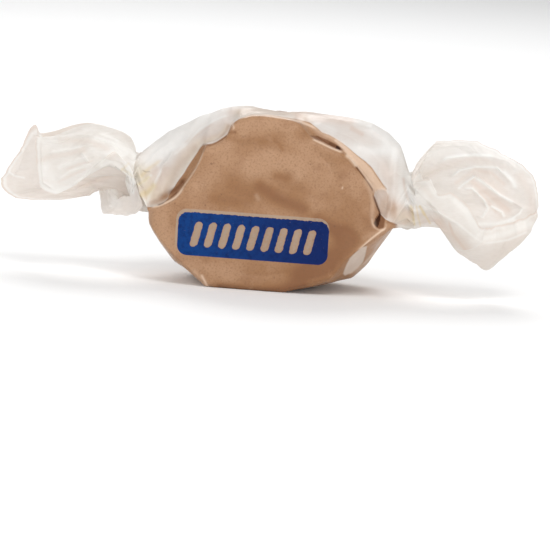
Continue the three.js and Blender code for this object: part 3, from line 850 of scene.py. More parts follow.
def body_paints(columns, pressed, loose, grey, from_neck, pleats, across, down):
    """The painted values, painted shade and painted light among them: sums of the drawn lines and
    areas where the front view sees them, and plain values behind."""
    free = 1.0 - pressed
    # pale: painted highlights on fold edges and the painted lit band, with the lighter loose patch
    pale_and_highlight = np.where(columns < 14.2, strokes(across, down, EDGE_HIGHLIGHTS_AND_SPECKS), 0.0) + 0.45 * loose
    pale_and_highlight = pale_and_highlight + np.where(columns > LOWER_START,
                           strokes(across, down, EDGE_HIGHLIGHTS_AND_SPECKS[-LOWER_EDGES:]), 0.0)
    seen_paper = columns < SEEN_END
    pale_and_highlight = pale_and_highlight + np.where(seen_paper, 0.8 * inside(across, down, PAINTED_LIT_BAND, 1.0), 0.0)
    # dark: painted shade in grooves, folds and the pocket, with one dark fibre
    shade_and_fibre = strokes(across, down, SHADE_LINES_AND_FIBRE)
    for strength, outline in SHADE_AREAS:
        shade_and_fibre = shade_and_fibre + strength * inside(across, down, outline, 0.6)
    # tones: the face's tone with its painted shade and painted light
    face_tone_light_and_shade = strokes(across, down, FACE_TONE_LIGHT_AND_SHADE)
    # beige: tan showing through free paper and painted fold shade, a plain beige behind
    beige_and_shade = np.where(seen_paper, strokes(across, down, BEIGE_AND_SHADE_PAPER), 0.2)
    behind = np.where(seen_paper | (columns > 42), 0.0, 1.0)
    neck_folds = 0.4 * behind * np.exp(-from_neck / 1.8) * step(0.1, 0.6, -pleats)
    return {
        "contact": pressed,
        "pale_and_highlight": pale_and_highlight,
        "shade_and_fibre": np.where(columns < 14.0, shade_and_fibre, 0.0),
        "warm": free * (strokes(across, down, WARM_PAPER) * (1.0 - behind) + neck_folds),
        "tone_light_and_shade": 0.5 + np.where((columns < 10.9) | (columns > 40), face_tone_light_and_shade, 0.0),
        "beige_and_shade": beige_and_shade + 0.5 * grey + 0.3 * loose,
        # white: painted highlights and painted light on the free paper the front view sees
        "painted_light": np.where(seen_paper, strokes(across, down, PAINTED_LIGHT_LINES), 0.0),
        "thin": free * lerp(0.5, 0.62, step(1.0, 5.0, from_neck)),
    }


def wrapper_body():
    """The paper round the chew: its rings moved along their normals by the relief, which is
    held back at both waists, and kept within the chew's depth and above the floor."""
    grid = body_grid()
    columns = np.broadcast_to(BODY_COLUMNS[None, :], grid.shape[:2])
    x = grid[..., 0]
    from_neck = np.minimum(np.abs(x - NECK_LEFT_X), np.abs(x - NECK_RIGHT_X))
    across, down = seen(grid + MIDDLE)
    pressed, loose, grey = body_contact(columns, x, across, down)
    relief, pleats = body_relief(grid, columns, pressed, from_neck, across, down)
    paints = body_paints(columns, pressed, loose, grey, from_neck, pleats, across, down)
    hold = step(0.0, 1.2, x - grid[0, 0, 0]) * step(0.0, 1.2, grid[-1, 0, 0] - x)
    grid = grid + outward(grid) * (relief * hold)[..., None]
    grid[..., 1] = np.clip(grid[..., 1], -HALF_DEPTH - 0.05, HALF_DEPTH + 0.05)
    grid[..., 2] = np.clip(grid[..., 2], 0.0, TOP_LIMIT)
    paper_piece("wrapper_body", grid, paints)


wrapper_body()


# ---------------------------------------------------------------- fans of the wrapper
FAN_COLUMNS = columns_at([12] * RING_COLUMNS)
FAN_ROWS = 130
EDGE_RAGGED = 0.1
FAN_PLEATS, FAN_BROAD, FAN_FINE = 0.24, 0.34, 0.07
FOLD_DEPTH = 0.75


def within(k, low, high):
    """True from column low round to column high."""
    return (k - low) % RING_COLUMNS <= (high - low) % RING_COLUMNS


def ragged_edge(grid, turned, s, seed):
    """The rings pulled back along the fan by waves round the rim, by the sixth power of the
    share s of the way to it."""
    ragged = waves(turned * 40.0, s * 0.0 + 2.0, seed + 40, 40)
    ragged = ragged + 0.5 * waves(turned * 90.0, s * 0.0 + 5.0, seed + 41, 90)
    along = np.gradient(grid, axis=0)
    along = along / np.maximum(np.linalg.norm(along, axis=-1, keepdims=True), 1e-9)
    return grid - along * (EDGE_RAGGED * ragged * s ** 6)[..., None]


def fan_relief(turned, k, s, seed):
    """Pleats that fade away from the waist, with broad and fine crumples that are calmer in
    front. The pleats are returned too."""
    pleats = facets(turned * 19.0, s * 1.4, seed, 19)
    calm = lerp(0.4, 1.0, step(6.0, 10.0, np.abs(columns_apart(k, 46.0))))
    relief = FAN_PLEATS * pleats * step(0.1, 0.35, s) * (1.0 - 0.7 * step(0.3, 0.8, s))
    relief = relief + FAN_BROAD * calm * crumple(turned * 16.0, s * 3.2, seed + 7, 16)
    fine = crumple(turned * 37.0, s * 10.0, seed + 17, 37)
    return relief + FAN_FINE * calm * fine, pleats


def fan_piece(name, neck_x, waist_x, loops, extra, seed, layers, warm_lines):
    """A fan: its curves from waist to rim, a ragged edge, relief along the normals, and for
    each layer, a span of columns, its own folds towards the front and painted lines of beige
    with painted fold shade and of painted highlights. Painted light makes the paper whiter by
    the waist and near the rim; it is beige at the rim itself, and lets more light through
    towards the rim."""
    out = math.copysign(1.0, waist_x)
    grid = fan_net(neck_x, waist_x, out, loops, extra, FAN_COLUMNS, FAN_ROWS)
    rows = grid.shape[0]
    s = np.maximum(np.arange(rows) - CAP_ROWS, 0.0) / (rows - 1 - CAP_ROWS)
    s = s[:, None] * np.ones((1, grid.shape[1]))
    columns = np.broadcast_to(FAN_COLUMNS[None, :], s.shape)
    turned = columns / float(RING_COLUMNS)
    k = (columns - FRONT_COLUMN + WAIST_TURN) % RING_COLUMNS
    grid = ragged_edge(grid, turned, s, seed)
    sprung = step(0.02, 0.3, s)
    relief, pleats = fan_relief(turned, k, s, seed)
    grid = grid + outward(grid) * (relief * sprung * -out)[..., None]
    across, down = seen(grid + MIDDLE)
    beige_and_shade, painted_light = np.zeros(s.shape), np.zeros(s.shape)
    for (low, high), ground, folds, beige_and_shade_lines, painted_light_lines in layers:
        chosen = within(k, low, high)
        raised = FOLD_DEPTH * creases(across, down, folds)
        grid[..., 1] -= np.where(chosen, raised, 0.0) * sprung
        # beige: the layer's ground and lines, a beige tint with painted fold shade, most on layers
        # that face down
        beige_and_shade += np.where(chosen, ground + strokes(across, down, beige_and_shade_lines), 0.0)
        # white: painted highlights along creases and painted light on shaded layers
        painted_light += np.where(chosen, strokes(across, down, painted_light_lines), 0.0)
    # painted light by the waist and just inside the rim, and a beige line on the rim itself
    painted_light += 0.7 * np.exp(-s / 0.05)
    beige_and_shade += 0.5 * step(0.985, 0.995, s)
    painted_light += 0.5 * step(0.95, 0.97, s) * (1.0 - step(0.975, 0.985, s))
    warm = 0.15 * np.exp(-s / 0.1) * step(0.2, 0.7, -pleats)
    warm = warm + np.where(within(k, 34, 6), strokes(across, down, warm_lines), 0.0)
    thin = lerp(0.5, 1.0, step(0.05, 0.5, s))
    if out < 0:
        flap = step(28.0, 33.0, k) * (1.0 - step(46.0, 47.9, k))
        thin = thin * (1.0 - 0.45 * flap)
    nothing = np.zeros(s.shape)
    paints = {"contact": nothing, "pale_and_highlight": nothing, "shade_and_fibre": nothing, "warm": warm,
              "tone_light_and_shade": nothing + 0.5, "beige_and_shade": beige_and_shade, "painted_light": painted_light, "thin": thin}
    if out < 0:
        grid = grid[::-1]
        paints = {key: value[::-1] for key, value in paints.items()}
    paper_piece(name, grid, paints, "last" if out < 0 else "first")


# each layer: (first and last column), beige of its ground, folds, beige lines, white lines; the
# beige of ground and lines carries painted fold shade, the white lines are painted highlights
LEFT_LAYERS = [
    ((0, 12), 0.14, [
        (3, 0.34, [(134, 159), (124, 155), (114, 150), (105, 157), (92, 168), (72, 184)]),
        (2.5, 0.35, [(40, 157), (52, 152), (69, 149), (84, 145), (100, 145)]),
        (1.8, 0.4, [(81, 152), (90, 163)]),
        (2.5, 0.3, [(56, 181), (70, 172), (84, 166), (96, 163)]),
        (2.5, 0.4, [(70, 133), (90, 136), (112, 143), (128, 155)]),
        (2, 0.3, [(58, 168), (72, 161), (86, 158), (100, 154)]),
        (2, 0.35, [(42, 140), (42, 165), (43, 182), (56, 191)]),
    ], [
        (2.6, 0.3, [(38, 161), (52, 157), (69, 154), (84, 150)]),
        (1.5, 0.35, [(55, 184), (72, 175), (88, 168)]),
        (3, 0.3, [(60, 140), (88, 141), (108, 149)]),
        (1.5, 0.2, [(40, 179), (56, 183), (72, 187)]),
        (1.2, 0.3, [(64, 170), (80, 164), (95, 160)]),
    ], [
        (1.3, 0.9, [(50, 152), (69, 149), (84, 145.5)]),
        (3, 0.8, [(102, 165), (112, 162), (122, 167)]),
        (4, 0.7, [(118, 143), (128, 149), (135, 157)]),
        (8, 0.6, [(46, 168), (56, 184)]),
        (1, 1, [(81, 153), (89, 162)]),
        (2.5, 0.9, [(96, 138), (112, 143), (126, 153)]),
        (3.5, 1, [(108, 156), (114, 152), (122, 155)]),
        (2.5, 0.8, [(60, 167), (72, 162), (84, 159)]),
        (2, 0.6, [(40, 188), (55, 192), (70, 186)]),
        (1, 0.7, [(58, 180), (70, 171), (94, 164)]),
        (1.2, 0.9, [(72, 185), (84, 176), (95, 166), (106, 158)]),
        (2, 0.5, [(84, 129), (98, 131), (117, 140)]),
    ]),
    ((12.1, 25), 0.55, [
        (2.5, 0.3, [(8, 170), (22, 176), (34, 180)]),
        (2.5, 0.3, [(26, 146), (20, 165), (10, 182)]),
    ], [], [
        (1, 0.6, [(8, 171), (16, 176), (26, 178)]),
    ]),
    ((25.1, 34), 0.6, [
        (2.5, 0.3, [(70, 192), (90, 182), (115, 172)]),
    ], [
        (3, 0.3, [(80, 186), (100, 180), (118, 172)]),
    ], []),
    ((34.1, 47.9), 0.45, [
        (2, 0.2, [(125, 164), (121, 178), (124, 205)]),
        (2, 0.4, [(108, 182), (108, 196), (110, 210)]),
    ], [
        (2.5, 0.4, [(122, 164), (119, 180), (120, 196)]),
    ], [
        (1.2, 0.9, [(130, 163), (134, 180), (133, 196)]),
        (6, 0.5, [(112, 186), (116, 204)]),
        (7, 0.9, [(112, 168), (128, 162), (132, 178)]),
        (3, 0.9, [(126, 172), (128, 192)]),
    ]),
]
RIGHT_LAYERS = [
    ((5.7, 39), 0.35, [
        (3, 0.45, [(436, 166), (447, 158), (473, 155), (490, 156), (507, 161), (520, 172)]),
        (2.2, 0.45, [(448, 179), (460, 170), (475, 166), (497, 167), (505, 175), (514, 185)]),
        (2.2, 0.5, [(457, 190), (476, 175), (500, 195), (515, 203), (523, 208), (507, 222)]),
        (2, 0.45, [(462, 189), (472, 188), (484, 200), (488, 208), (483, 217), (474, 216)]),
        (2, 0.4, [(484, 200), (494, 208), (502, 212), (505, 219)]),
        (2.2, 0.3, [(424, 176), (440, 168), (456, 166)]),
    ], [
        (4, 0.22, [(424, 178), (440, 168), (468, 159), (498, 162), (510, 168)]),
        (2, 0.32, [(456, 183), (475, 170), (492, 173), (504, 184)]),
        (2.5, 0.4, [(472, 182), (490, 196), (508, 210)]),
        (1.8, 0.4, [(477, 190), (489, 202), (498, 214)]),
        (5, 0.3, [(520, 176), (531, 195), (532, 212)]),
        (10, 0.4, [(484, 180), (496, 192), (504, 210)]),
    ], [
        (7, 0.4, [(428, 156), (446, 149), (478, 147), (500, 157), (516, 168)]),
        (1.6, 1, [(441, 162), (447, 158), (457, 156), (473, 154.5), (495, 156)]),
        (1.1, 0.9, [(450, 178), (460, 170), (475, 166.5), (497, 167.5), (505, 175)]),
        (2.2, 0.8, [(505, 172), (512, 180), (515, 186)]),
        (1.6, 1, [(474, 176), (484, 183), (500, 195), (516, 204)]),
        (1, 1, [(457, 190), (466, 182), (476, 175)]),
        (1, 0.9, [(523, 207), (520, 213), (507, 222)]),
        (1, 0.9, [(462, 189), (472, 188), (484, 200), (488, 208), (483, 217), (477, 216)]),
        (1.4, 0.9, [(490, 205), (502, 212), (505, 218)]),
        (2, 0.8, [(479, 224), (496, 224), (514, 219)]),
    ]),
    ((39.1, 5.6), 0.15, [
        (2.2, 0.35, [(414, 199), (440, 213), (457, 223), (470, 233), (482, 243)]),
        (2, 0.35, [(412, 190), (424, 184), (432, 180)]),
    ], [
        (2, 0.2, [(414, 186), (424, 189), (431, 197)]),
        (6, 0.6, [(440, 224), (462, 244), (478, 262)]),
        (7, 0.6, [(412, 213), (422, 221), (434, 222)]),
        (1, 0.7, [(448, 219), (453, 234), (466, 251), (477, 267)]),
    ], [
        (1.2, 1, [(430, 178), (433, 184), (437, 194)]),
        (6, 0.9, [(414, 190), (424, 200)]),
        (4, 0.9, [(456, 202), (467, 214), (478, 234)]),
        (1.1, 0.7, [(420, 204), (440, 213), (457, 223), (482, 243)]),
    ]),
    ((27.1, 39), 0, [], [
        (8, 0.12, [(484, 262), (505, 250), (526, 240)]),
    ], [
        (4, 0.9, [(484, 238), (504, 234), (530, 224)]),
        (1.1, 0.8, [(482, 244), (508, 240), (530, 231)]),
    ]),
]
LEFT_WARM = [
    (1.2, 0.3, [(134, 178), (128, 172), (120, 168)]),
    (1.0, 0.3, [(116, 176), (124, 168), (130, 162)]),
]
RIGHT_WARM = [
    (0.9, 0.9, [(411, 203), (413, 214), (415, 227)]),
    (1.3, 1, [(419, 205), (422, 210), (425, 216)]),
    (0.9, 0.8, [(422, 210), (427, 218), (431, 225)]),
    (0.8, 0.6, [(416, 204), (418, 216), (421, 228)]),
]
# loops put between the last two named ones: share of the way, column, width, rise
LEFT_EXTRA = [(0.4, 12.2, 2.2, 1.33), (0.93, 12.2, 1.4, -1.15)]
fan_piece("wrapper_fan_left", NECK_LEFT_X, WAIST_LEFT_X, (LEFT_BELLY, LEFT_RIM), LEFT_EXTRA, 60,
          LEFT_LAYERS, LEFT_WARM)
fan_piece("wrapper_fan_right", NECK_RIGHT_X, WAIST_RIGHT_X,
          (RIGHT_THROAT, RIGHT_BELLY, RIGHT_LIP, RIGHT_RIM), [], 80, RIGHT_LAYERS, RIGHT_WARM)


# ---------------------------------------------------------------- the chew inside
def polygon_reach(rows, phi):
    """Distance from the chew's middle to a closed outline of (x, z), in each direction."""
    rows = np.asarray(rows, float) - np.array((0.0, CHEW_Z))
    nxt = np.roll(rows, -1, 0)
    dx, dz = np.cos(phi)[:, None], np.sin(phi)[:, None]
    ex, ez = (nxt - rows).T
    cross = dx * ez - dz * ex
    cross = np.where(np.abs(cross) < 1e-9, 1e-9, cross)
    along = (rows[:, 0] * ez - rows[:, 1] * ex) / cross
    share = (rows[:, 0] * dz - rows[:, 1] * dx) / cross
    hit = (share >= -1e-6) & (share <= 1.0 + 1e-6) & (along > 0)
    return np.where(hit, along, 0.0).max(1)


def chew_rings():
    """A thick slab: rings along Y, each the front or back outline less a margin that grows
    to round the edges, closed by fans to the middle of both faces, with small pits."""
    phi = np.linspace(0, 2 * math.pi, 360, endpoint=False)
    front = polygon_reach(FRONT_BOTTOM + FRONT_TOP[::-1], phi)
    back = polygon_reach(BACK_BOTTOM + BACK_TOP[::-1], phi)
    depth = np.linspace(-1.0, 1.0, 80)
    depth = np.sign(depth) * (1.0 - (1.0 - np.abs(depth)) ** 1.5)
    inward = np.linspace(0.0, 0.97, 60)
    outline = lerp(front[None], back[None], ((depth + 1) / 2)[:, None])
    past = np.maximum(0.0, np.abs(depth) * CHEW_FACE - CHEW_FACE + CHEW_ROUND)[:, None]
    wall = soften(outline - (CHEW_MARGIN + 0.9 * past ** 2), 3, 1, True)
    ys = (depth * CHEW_FACE)[:, None] + 0 * wall
    cap_low = wall[0][None] * (1.0 - inward[::-1, None])
    cap_high = wall[-1][None] * (1.0 - inward[:, None])
    r = np.concatenate([cap_low[:-1], wall, cap_high[1:]])
    y = np.concatenate([np.full(cap_low[:-1].shape, -CHEW_FACE), ys,
                        np.full(cap_high[1:].shape, CHEW_FACE)])
    px, pz = r * np.cos(phi)[None], CHEW_Z + r * np.sin(phi)[None]
    pits = np.maximum(0.0, waves(px * 0.8 + 30, pz * 0.8 + y * 0.8 + 30, 91) - 0.6)
    y = y - np.sign(y) * PIT_DEPTH * pits * (np.abs(y) > CHEW_FACE - 0.01)
    return np.stack([px, y, pz], -1)


def chew():
    """The rings with a point in the middle of either face."""
    rings = chew_rings()
    rows, count = rings.shape[:2]
    tips = [[0.0, rings[end, 0, 1], CHEW_Z] for end in (0, -1)]
    points = np.concatenate([rings.reshape(-1, 3), tips])
    faces = tube_faces(rows, count)
    faces += pole_faces(0, rows * count, count, True)
    faces += pole_faces((rows - 1) * count, rows * count + 1, count, False)
    add_piece("chew", points, faces, "taffy")


chew()


# ---------------------------------------------------------------- materials
def colour(code):
    """Linear colour of an sRGB hex code."""
    parts = [int(code[k:k + 2], 16) / 255 for k in (0, 2, 4)]
    return [p / 12.92 if p <= 0.04045 else ((p + 0.055) / 1.055) ** 2.4 for p in parts] + [1.0]


class Graph:
    """Short names for building one material's nodes."""

    def __init__(self, name):
        self.material = bpy.data.materials.new(name)
        self.material.use_nodes = True
        self.tree = self.material.node_tree
        self.tree.nodes.clear()
        self.place = self.tree.nodes.new("ShaderNodeTexCoord").outputs["Object"]

    def put(self, socket, value):
        """Link a socket, or set a constant on it."""
        if isinstance(value, bpy.types.NodeSocket):
            self.tree.links.new(value, socket)
        else:
            socket.default_value = value

    def node(self, kind, **inputs):
        n = self.tree.nodes.new(kind)
        for key, value in inputs.items():
            self.put(n.inputs[key.replace("_", " ")], value)
        return n

    def math(self, operation, *values):
        n = self.tree.nodes.new("ShaderNodeMath")
        n.operation = operation
        for k, value in enumerate(values):
            self.put(n.inputs[k], value)
        return n.outputs[0]

    def times(self, a, b):
        return self.math("MULTIPLY", a, b)

    def plus(self, a, b):
        return self.math("ADD", a, b)

    def less(self, a, b):
        return self.math("SUBTRACT", a, b)

    def length(self, a, b):
        """Square root of the sum of both squares."""
        return self.math("SQRT", self.plus(self.times(a, a), self.times(b, b)))

    def past(self, value, limit):
        """How far the value's size goes past a limit, or 0."""
        return self.math("MAXIMUM", self.less(self.math("ABSOLUTE", value), limit), 0.0)

    def mix(self, share, a, b):
        n = self.tree.nodes.new("ShaderNodeMix")
        n.data_type = "RGBA"
        self.put(n.inputs["Factor"], share)
        self.put(n.inputs[6], a)
        self.put(n.inputs[7], b)
        return n.outputs[2]

    def noise(self, scale, detail=2.0, roughness=0.5, at=None):
        n = self.node("ShaderNodeTexNoise", Scale=scale, Detail=detail, Roughness=roughness)
        self.put(n.inputs["Vector"], at or self.place)
        return n.outputs["Fac"]

    def between(self, value, low, high, to_low=0.0, to_high=1.0):
        """Smooth step from one value at low to another at high."""
        n = self.node("ShaderNodeMapRange")
        n.interpolation_type = "SMOOTHSTEP"
        for k, v in enumerate((value, low, high, to_low, to_high)):
            self.put(n.inputs[k], v)
        return n.outputs[0]

    def attribute(self, name):
        n = self.tree.nodes.new("ShaderNodeAttribute")
        n.attribute_name = name
        return n.outputs["Fac"]

    def split(self, vector):
        n = self.tree.nodes.new("ShaderNodeSeparateXYZ")
        self.put(n.inputs[0], vector)
        return n.outputs

    def stretch(self, scale, turn):
        """The place turned, and scaled along each axis."""
        n = self.tree.nodes.new("ShaderNodeMapping")
        self.put(n.inputs["Vector"], self.place)
        n.inputs["Scale"].default_value = scale
        n.inputs["Rotation"].default_value = turn
        return n.outputs[0]

    def finish(self, shader):
        out = self.tree.nodes.new("ShaderNodeOutputMaterial")
        self.tree.links.new(shader, out.inputs["Surface"])
        return self.material


def rounded_box(g, x, z, half_x, half_z, radius):
    """Signed distance to a rounded rectangle: length of the part outside the inner box, less
    the corner radius."""
    return g.less(g.length(g.past(x, half_x - radius), g.past(z, half_z - radius)), radius)


# the printed panel on the front, in metres, and the nine slanted bars on it
LABEL_X = 0.78 * MM
LABEL_Z = 6.87 * MM
LABEL_HALF_X = 9.88 * MM
LABEL_HALF_Z = 2.84 * MM
LABEL_CORNER = 1.3 * MM
RIM_X = 0.14 * MM
RIM_Z = 0.2 * MM
BARS = 9
BAR_PITCH = 1.86 * MM
BAR_HALF = 0.5 * MM
BAR_REACH = 1.15 * MM
BAR_SLANT = 0.22
PRINT_EDGE = 0.04 * MM
PRINT_WOBBLE = 0.3 * MM


def tan_through_paper(g, tone_light_and_shade, cloud, grain):
    """The chew's colour through pressed paper: light to dark by a noise and the painted tone,
    which carries painted shade and light, then cloudy and light patches, grain, pores and a few
    lone specks on top."""
    mottle = g.noise(160.0, 4.0, 0.6)
    blotch = g.plus(g.times(mottle, 0.55), g.times(tone_light_and_shade, 0.45))
    tan = g.mix(g.between(blotch, 0.34, 0.66), colour("ae8767"), colour("956a45"))
    # deep: the darkest painted shade, where the painted tone runs high
    deep_shade = g.times(g.between(tone_light_and_shade, 0.62, 1.05), g.between(mottle, 0.3, 0.6, 0.7, 1.0))
    tan = g.mix(g.times(deep_shade, 0.75), tan, colour("7b4d2c"))
    tan = g.mix(g.between(cloud, 0.50, 0.75, 0.0, 0.42), tan, colour("8b6142"))
    light = g.between(g.noise(260.0, 4.0, 0.7), 0.58, 0.74, 0.0, 0.34)
    tan = g.mix(light, tan, colour("bc9676"))
    tan = g.mix(g.between(grain, 0.45, 0.72, 0.0, 0.4), tan, colour("7a5637"))
    pores = g.between(g.noise(2300.0, 3.0, 0.7), 0.60, 0.68, 0.0, 0.2)
    tan = g.mix(pores, tan, colour("6d4a33"))
    specks = g.node("ShaderNodeTexVoronoi", Scale=620.0, Vector=g.place)
    speck = g.between(specks.outputs["Distance"], 0.07, 0.12, 1.0, 0.0)
    lone = g.between(g.noise(300.0, 0.0), 0.55, 0.6)
    return g.mix(g.times(g.times(speck, lone), 0.5), tan, colour("6d4a33"))


def ivory_paper(g, fibre):
    """Free paper: ivory with soft clouds and fibres, and over it the painted beige with its
    painted fold shade, the painted highlights and light, and the warm lines."""
    cloud = g.between(g.noise(240.0, 4.0, 0.6), 0.35, 0.7)
    ivory = g.mix(cloud, colour("f2f1ee"), colour("ebe8e3"))
    ivory = g.mix(g.between(fibre, 0.45, 0.8, 0.0, 0.3), ivory, colour("dad4cc"))
    # beige: a beige tint with painted fold shade
    ivory = g.mix(g.times(g.attribute("beige_and_shade"), 0.8), ivory, colour("e2d1c5"))
    # white: painted highlights and painted light
    ivory = g.mix(g.times(g.attribute("painted_light"), 0.9), ivory, colour("faf9f6"))
    return g.mix(g.times(g.attribute("warm"), 0.7), ivory, colour("e2cfa0"))


def printed_panel(g, base, grain):
    """Blue ink inside a rounded box on the front face, with a pale rim where the box is a
    little larger, and bars left free: places near a slanted line, repeated at a pitch by
    rounding. Returned with the share of ink."""
    x, y, z = g.split(g.place)
    front = g.between(y, -7.1 * MM, -6.8 * MM, 1.0, 0.0)
    lx, lz = g.less(x, LABEL_X), g.less(z, LABEL_Z)
    wobble = g.times(g.less(g.noise(2600.0, 2.0), 0.5), PRINT_WOBBLE)
    rough_edge = g.times(wobble, g.between(lz, 0.0, LABEL_HALF_Z, 0.15, 1.0))
    edge = g.plus(rounded_box(g, lx, lz, LABEL_HALF_X, LABEL_HALF_Z, LABEL_CORNER), rough_edge)
    panel = g.between(edge, -PRINT_EDGE, PRINT_EDGE, 1.0, 0.0)

    rim = rounded_box(g, g.plus(lx, RIM_X), g.less(lz, RIM_Z), LABEL_HALF_X + RIM_X,
                      LABEL_HALF_Z + RIM_Z, LABEL_CORNER + 0.1 * MM)
    rim = g.between(rim, -PRINT_EDGE, 1.5 * PRINT_EDGE, 1.0, 0.0)
    rim = g.times(rim, g.less(1.0, panel))
    rim = g.times(rim, g.between(grain, 0.2, 0.7, 0.6, 1.0))
    rim = g.times(rim, g.between(lz, -2.8 * MM, -0.5 * MM, 0.2, 1.0))

    across = g.math("DIVIDE", g.less(lx, g.times(lz, BAR_SLANT)), BAR_PITCH)
    cell = g.math("FLOOR", g.plus(across, 0.5))
    aside = g.times(g.less(across, cell), BAR_PITCH)
    bar = g.plus(g.length(aside, g.past(lz, BAR_REACH)), g.times(wobble, 0.7))
    bars = g.between(bar, BAR_HALF - 0.75 * PRINT_EDGE, BAR_HALF + PRINT_EDGE, 1.0, 0.0)
    bars = g.times(bars, g.math("LESS_THAN", g.math("ABSOLUTE", cell), BARS / 2))

    ink = g.between(lx, -LABEL_HALF_X, LABEL_HALF_X)
    ink = g.mix(ink, colour("123b78"), colour("12265c"))
    ink = g.mix(g.between(g.noise(1500.0, 3.0, 0.7), 0.4, 0.75, 0.0, 0.6), ink, colour("0c1d4c"))
    rubbed = g.between(g.noise(5200.0, 2.0, 0.7), 0.68, 0.76, 0.0, 0.4)
    printed = g.times(g.times(panel, g.less(1.0, bars)), front)
    printed = g.times(printed, g.less(1.0, rubbed))
    core = g.between(bar, 0.0, BAR_HALF, 0.7, 0.45)
    cleared = g.times(g.times(bars, front), g.between(grain, 0.3, 0.7, 0.5, 1.0))
    base = g.mix(g.times(g.times(rim, front), 0.64), base, colour("a99b8b"))
    base = g.mix(g.times(cleared, core), base, colour("a19689"))
    return g.mix(printed, base, ink), printed


def paper_material():
    """Waxed paper: tan where it is pressed on the chew and ivory where it is free, with painted
    shade in its folds and painted highlights on its edges, printed in front, with a low gloss.
    It lets light through where the painted thinness says so."""
    g = Graph("waxed_paper")
    contact, pale_and_highlight = g.attribute("contact"), g.attribute("pale_and_highlight")
    shade_and_fibre, tone_light_and_shade = g.attribute("shade_and_fibre"), g.attribute("tone_light_and_shade")
    cloud = g.noise(420.0, 3.0, 0.55)
    grain = g.noise(3600.0, 2.0, 0.6)
    fibre = g.noise(1.0, 3.0, 0.6, at=g.stretch((900.0, 900.0, 5200.0), (0.4, 0.5, 0.2)))

    worn = g.plus(contact, g.times(g.less(cloud, 0.5), 0.25))
    share = g.times(g.between(worn, 0.0, 0.95), g.between(contact, 0.0, 0.06))
    base = g.mix(share, ivory_paper(g, fibre), tan_through_paper(g, tone_light_and_shade, cloud, grain))
    # dark: painted shade in grooves, folds and the pocket, deepest where the value runs high
    base = g.mix(g.between(shade_and_fibre, 0.0, 0.75, 0.0, 0.85), base, colour("6b432a"))
    base = g.mix(g.between(shade_and_fibre, 0.6, 1.0, 0.0, 0.9), base, colour("2c1408"))
    # pale: painted highlights along the fold edges
    base = g.mix(g.times(pale_and_highlight, 0.7), base, colour("e6ccb4"))
    base, printed = printed_panel(g, base, grain)

    rough = g.between(g.noise(500.0, 3.0), 0.3, 0.7, 0.3, 0.5)
    height = g.plus(g.times(grain, 0.25), g.plus(g.times(cloud, 0.6), g.times(fibre, 0.25)))
    bump = g.node("ShaderNodeBump", Strength=0.35, Distance=0.08 * MM, Height=height)
    normal = bump.outputs[0]
    dull = g.math("MAXIMUM", printed, shade_and_fibre)
    paper = g.node("ShaderNodeBsdfPrincipled", Base_Color=base, Roughness=rough, Normal=normal,
                   Specular_IOR_Level=g.between(dull, 0.0, 1.0, 0.38, 0.06),
                   Coat_Weight=g.between(dull, 0.0, 1.0, 0.08, 0.0), Coat_Roughness=0.22)
    through = g.node("ShaderNodeBsdfTranslucent", Color=base, Normal=normal)
    both = g.node("ShaderNodeMixShader", Fac=g.times(g.attribute("thin"), 0.5))
    g.tree.links.new(paper.outputs[0], both.inputs[1])
    g.tree.links.new(through.outputs[0], both.inputs[2])
    return g.finish(both.outputs[0])


def chew_material():
    """The bare chew: two tans by a noise with darker patches, half dull, a little bumpy, with
    some light scattered under its surface."""
    g = Graph("taffy")
    mottle = g.noise(180.0, 4.0, 0.6)
    base = g.mix(g.between(mottle, 0.35, 0.65), colour("b07c4e"), colour("c8996a"))
    base = g.mix(g.between(g.noise(900.0, 3.0), 0.5, 0.8, 0.0, 0.5), base, colour("99683f"))
    rough = g.between(g.noise(700.0, 2.0), 0.3, 0.7, 0.42, 0.62)
    height = g.plus(g.noise(1200.0, 3.0), g.times(mottle, 0.5))
    bump = g.node("ShaderNodeBump", Strength=0.4, Distance=0.1 * MM, Height=height)
    taffy = g.node("ShaderNodeBsdfPrincipled", Base_Color=base, Roughness=rough,
                   Normal=bump.outputs[0], Subsurface_Weight=0.15,
                   Subsurface_Radius=(2.0 * MM, 1.0 * MM, 0.6 * MM), Subsurface_Scale=1.0)
    return g.finish(taffy.outputs[0])


paper = paper_material()
for name in ("wrapper_body", "wrapper_fan_left", "wrapper_fan_right"):
    bpy.data.objects[name].data.materials.append(paper)
bpy.data.objects["chew"].data.materials.append(chew_material())


# ---------------------------------------------------------------- floor, light and camera
FLOOR_HALF = 6.0
LIGHT_TARGET = (0.0, 0.0, 0.012)
WORLD_STRENGTH = 0.48
# soft round lights (name, place, diameter, power), in metres and watts
LIGHTS = [
    ("key", (0.16, -0.26, 0.46), 0.20, 0.82),
    ("front", (0.05, -0.55, 0.14), 0.25, 0.34),
    ("fill", (-0.36, -0.28, 0.34), 0.26, 0.75),
    ("side", (0.42, -0.30, 0.16), 0.26, 0.62),
    ("back", (-0.05, 0.35, 0.35), 0.30, 1.05),
]


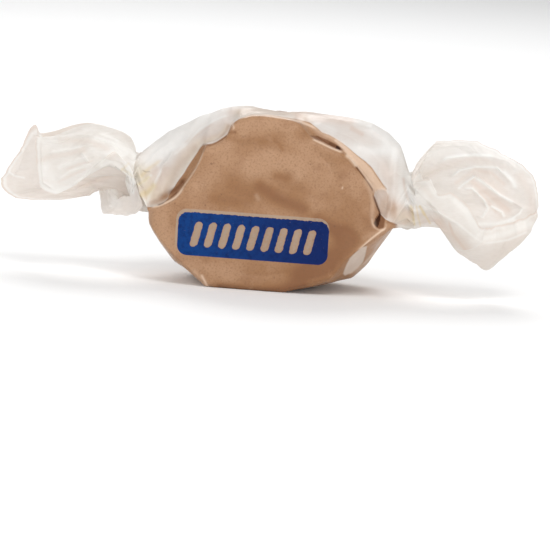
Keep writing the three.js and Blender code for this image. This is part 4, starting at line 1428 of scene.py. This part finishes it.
def floor_piece():
    """A pale square that the sweet rests on."""
    mesh = bpy.data.meshes.new("floor")
    size = FLOOR_HALF
    corners = [(-size, -size, 0), (size, -size, 0), (size, size, 0), (-size, size, 0)]
    mesh.from_pydata(corners, [], [(0, 1, 2, 3)])
    floor = bpy.data.objects.new("floor", mesh)
    bpy.context.scene.collection.objects.link(floor)
    material = bpy.data.materials.new("floor")
    material.use_nodes = True
    shader = material.node_tree.nodes["Principled BSDF"]
    shader.inputs["Base Color"].default_value = (0.9, 0.9, 0.9, 1.0)
    shader.inputs["Roughness"].default_value = 0.7
    mesh.materials.append(material)


def area_light(name, place, size, power):
    """A disk that faces the sweet's middle."""
    data = bpy.data.lights.new(name, "AREA")
    data.shape = "DISK"
    data.size = size
    data.energy = power
    light = bpy.data.objects.new(name, data)
    light.location = place
    aim = Vector(LIGHT_TARGET) - Vector(place)
    light.rotation_euler = aim.to_track_quat("-Z", "Y").to_euler()
    bpy.context.scene.collection.objects.link(light)


def camera():
    """An eye at the view's distance behind its middle, with the view's own axes."""
    data = bpy.data.cameras.new("camera")
    data.lens = LENS
    data.sensor_width = SENSOR
    data.clip_start, data.clip_end = 0.01, 20.0
    centre = (VIEW_POINT + RIGHT * ((VIEW_MIDDLE - POINT_PLACE[0]) / STEPS_A_MM)
              + UP * ((POINT_PLACE[1] - VIEW_MIDDLE) / STEPS_A_MM))
    place = (centre + BACK * VIEW_DISTANCE) * MM
    cam = bpy.data.objects.new("camera", data)
    turn = Matrix((RIGHT, UP, BACK)).transposed()
    cam.matrix_world = Matrix.Translation(place) @ turn.to_4x4()
    bpy.context.scene.collection.objects.link(cam)
    bpy.context.scene.camera = cam


floor_piece()
for row in LIGHTS:
    area_light(*row)
camera()
world = bpy.data.worlds.new("studio")
bpy.context.scene.world = world
world.use_nodes = True
background = world.node_tree.nodes["Background"]
background.inputs["Color"].default_value = (1.0, 1.0, 1.0, 1.0)
background.inputs["Strength"].default_value = WORLD_STRENGTH
bpy.context.scene.view_settings.view_transform = "Standard"
bpy.context.scene.view_settings.look = "None"
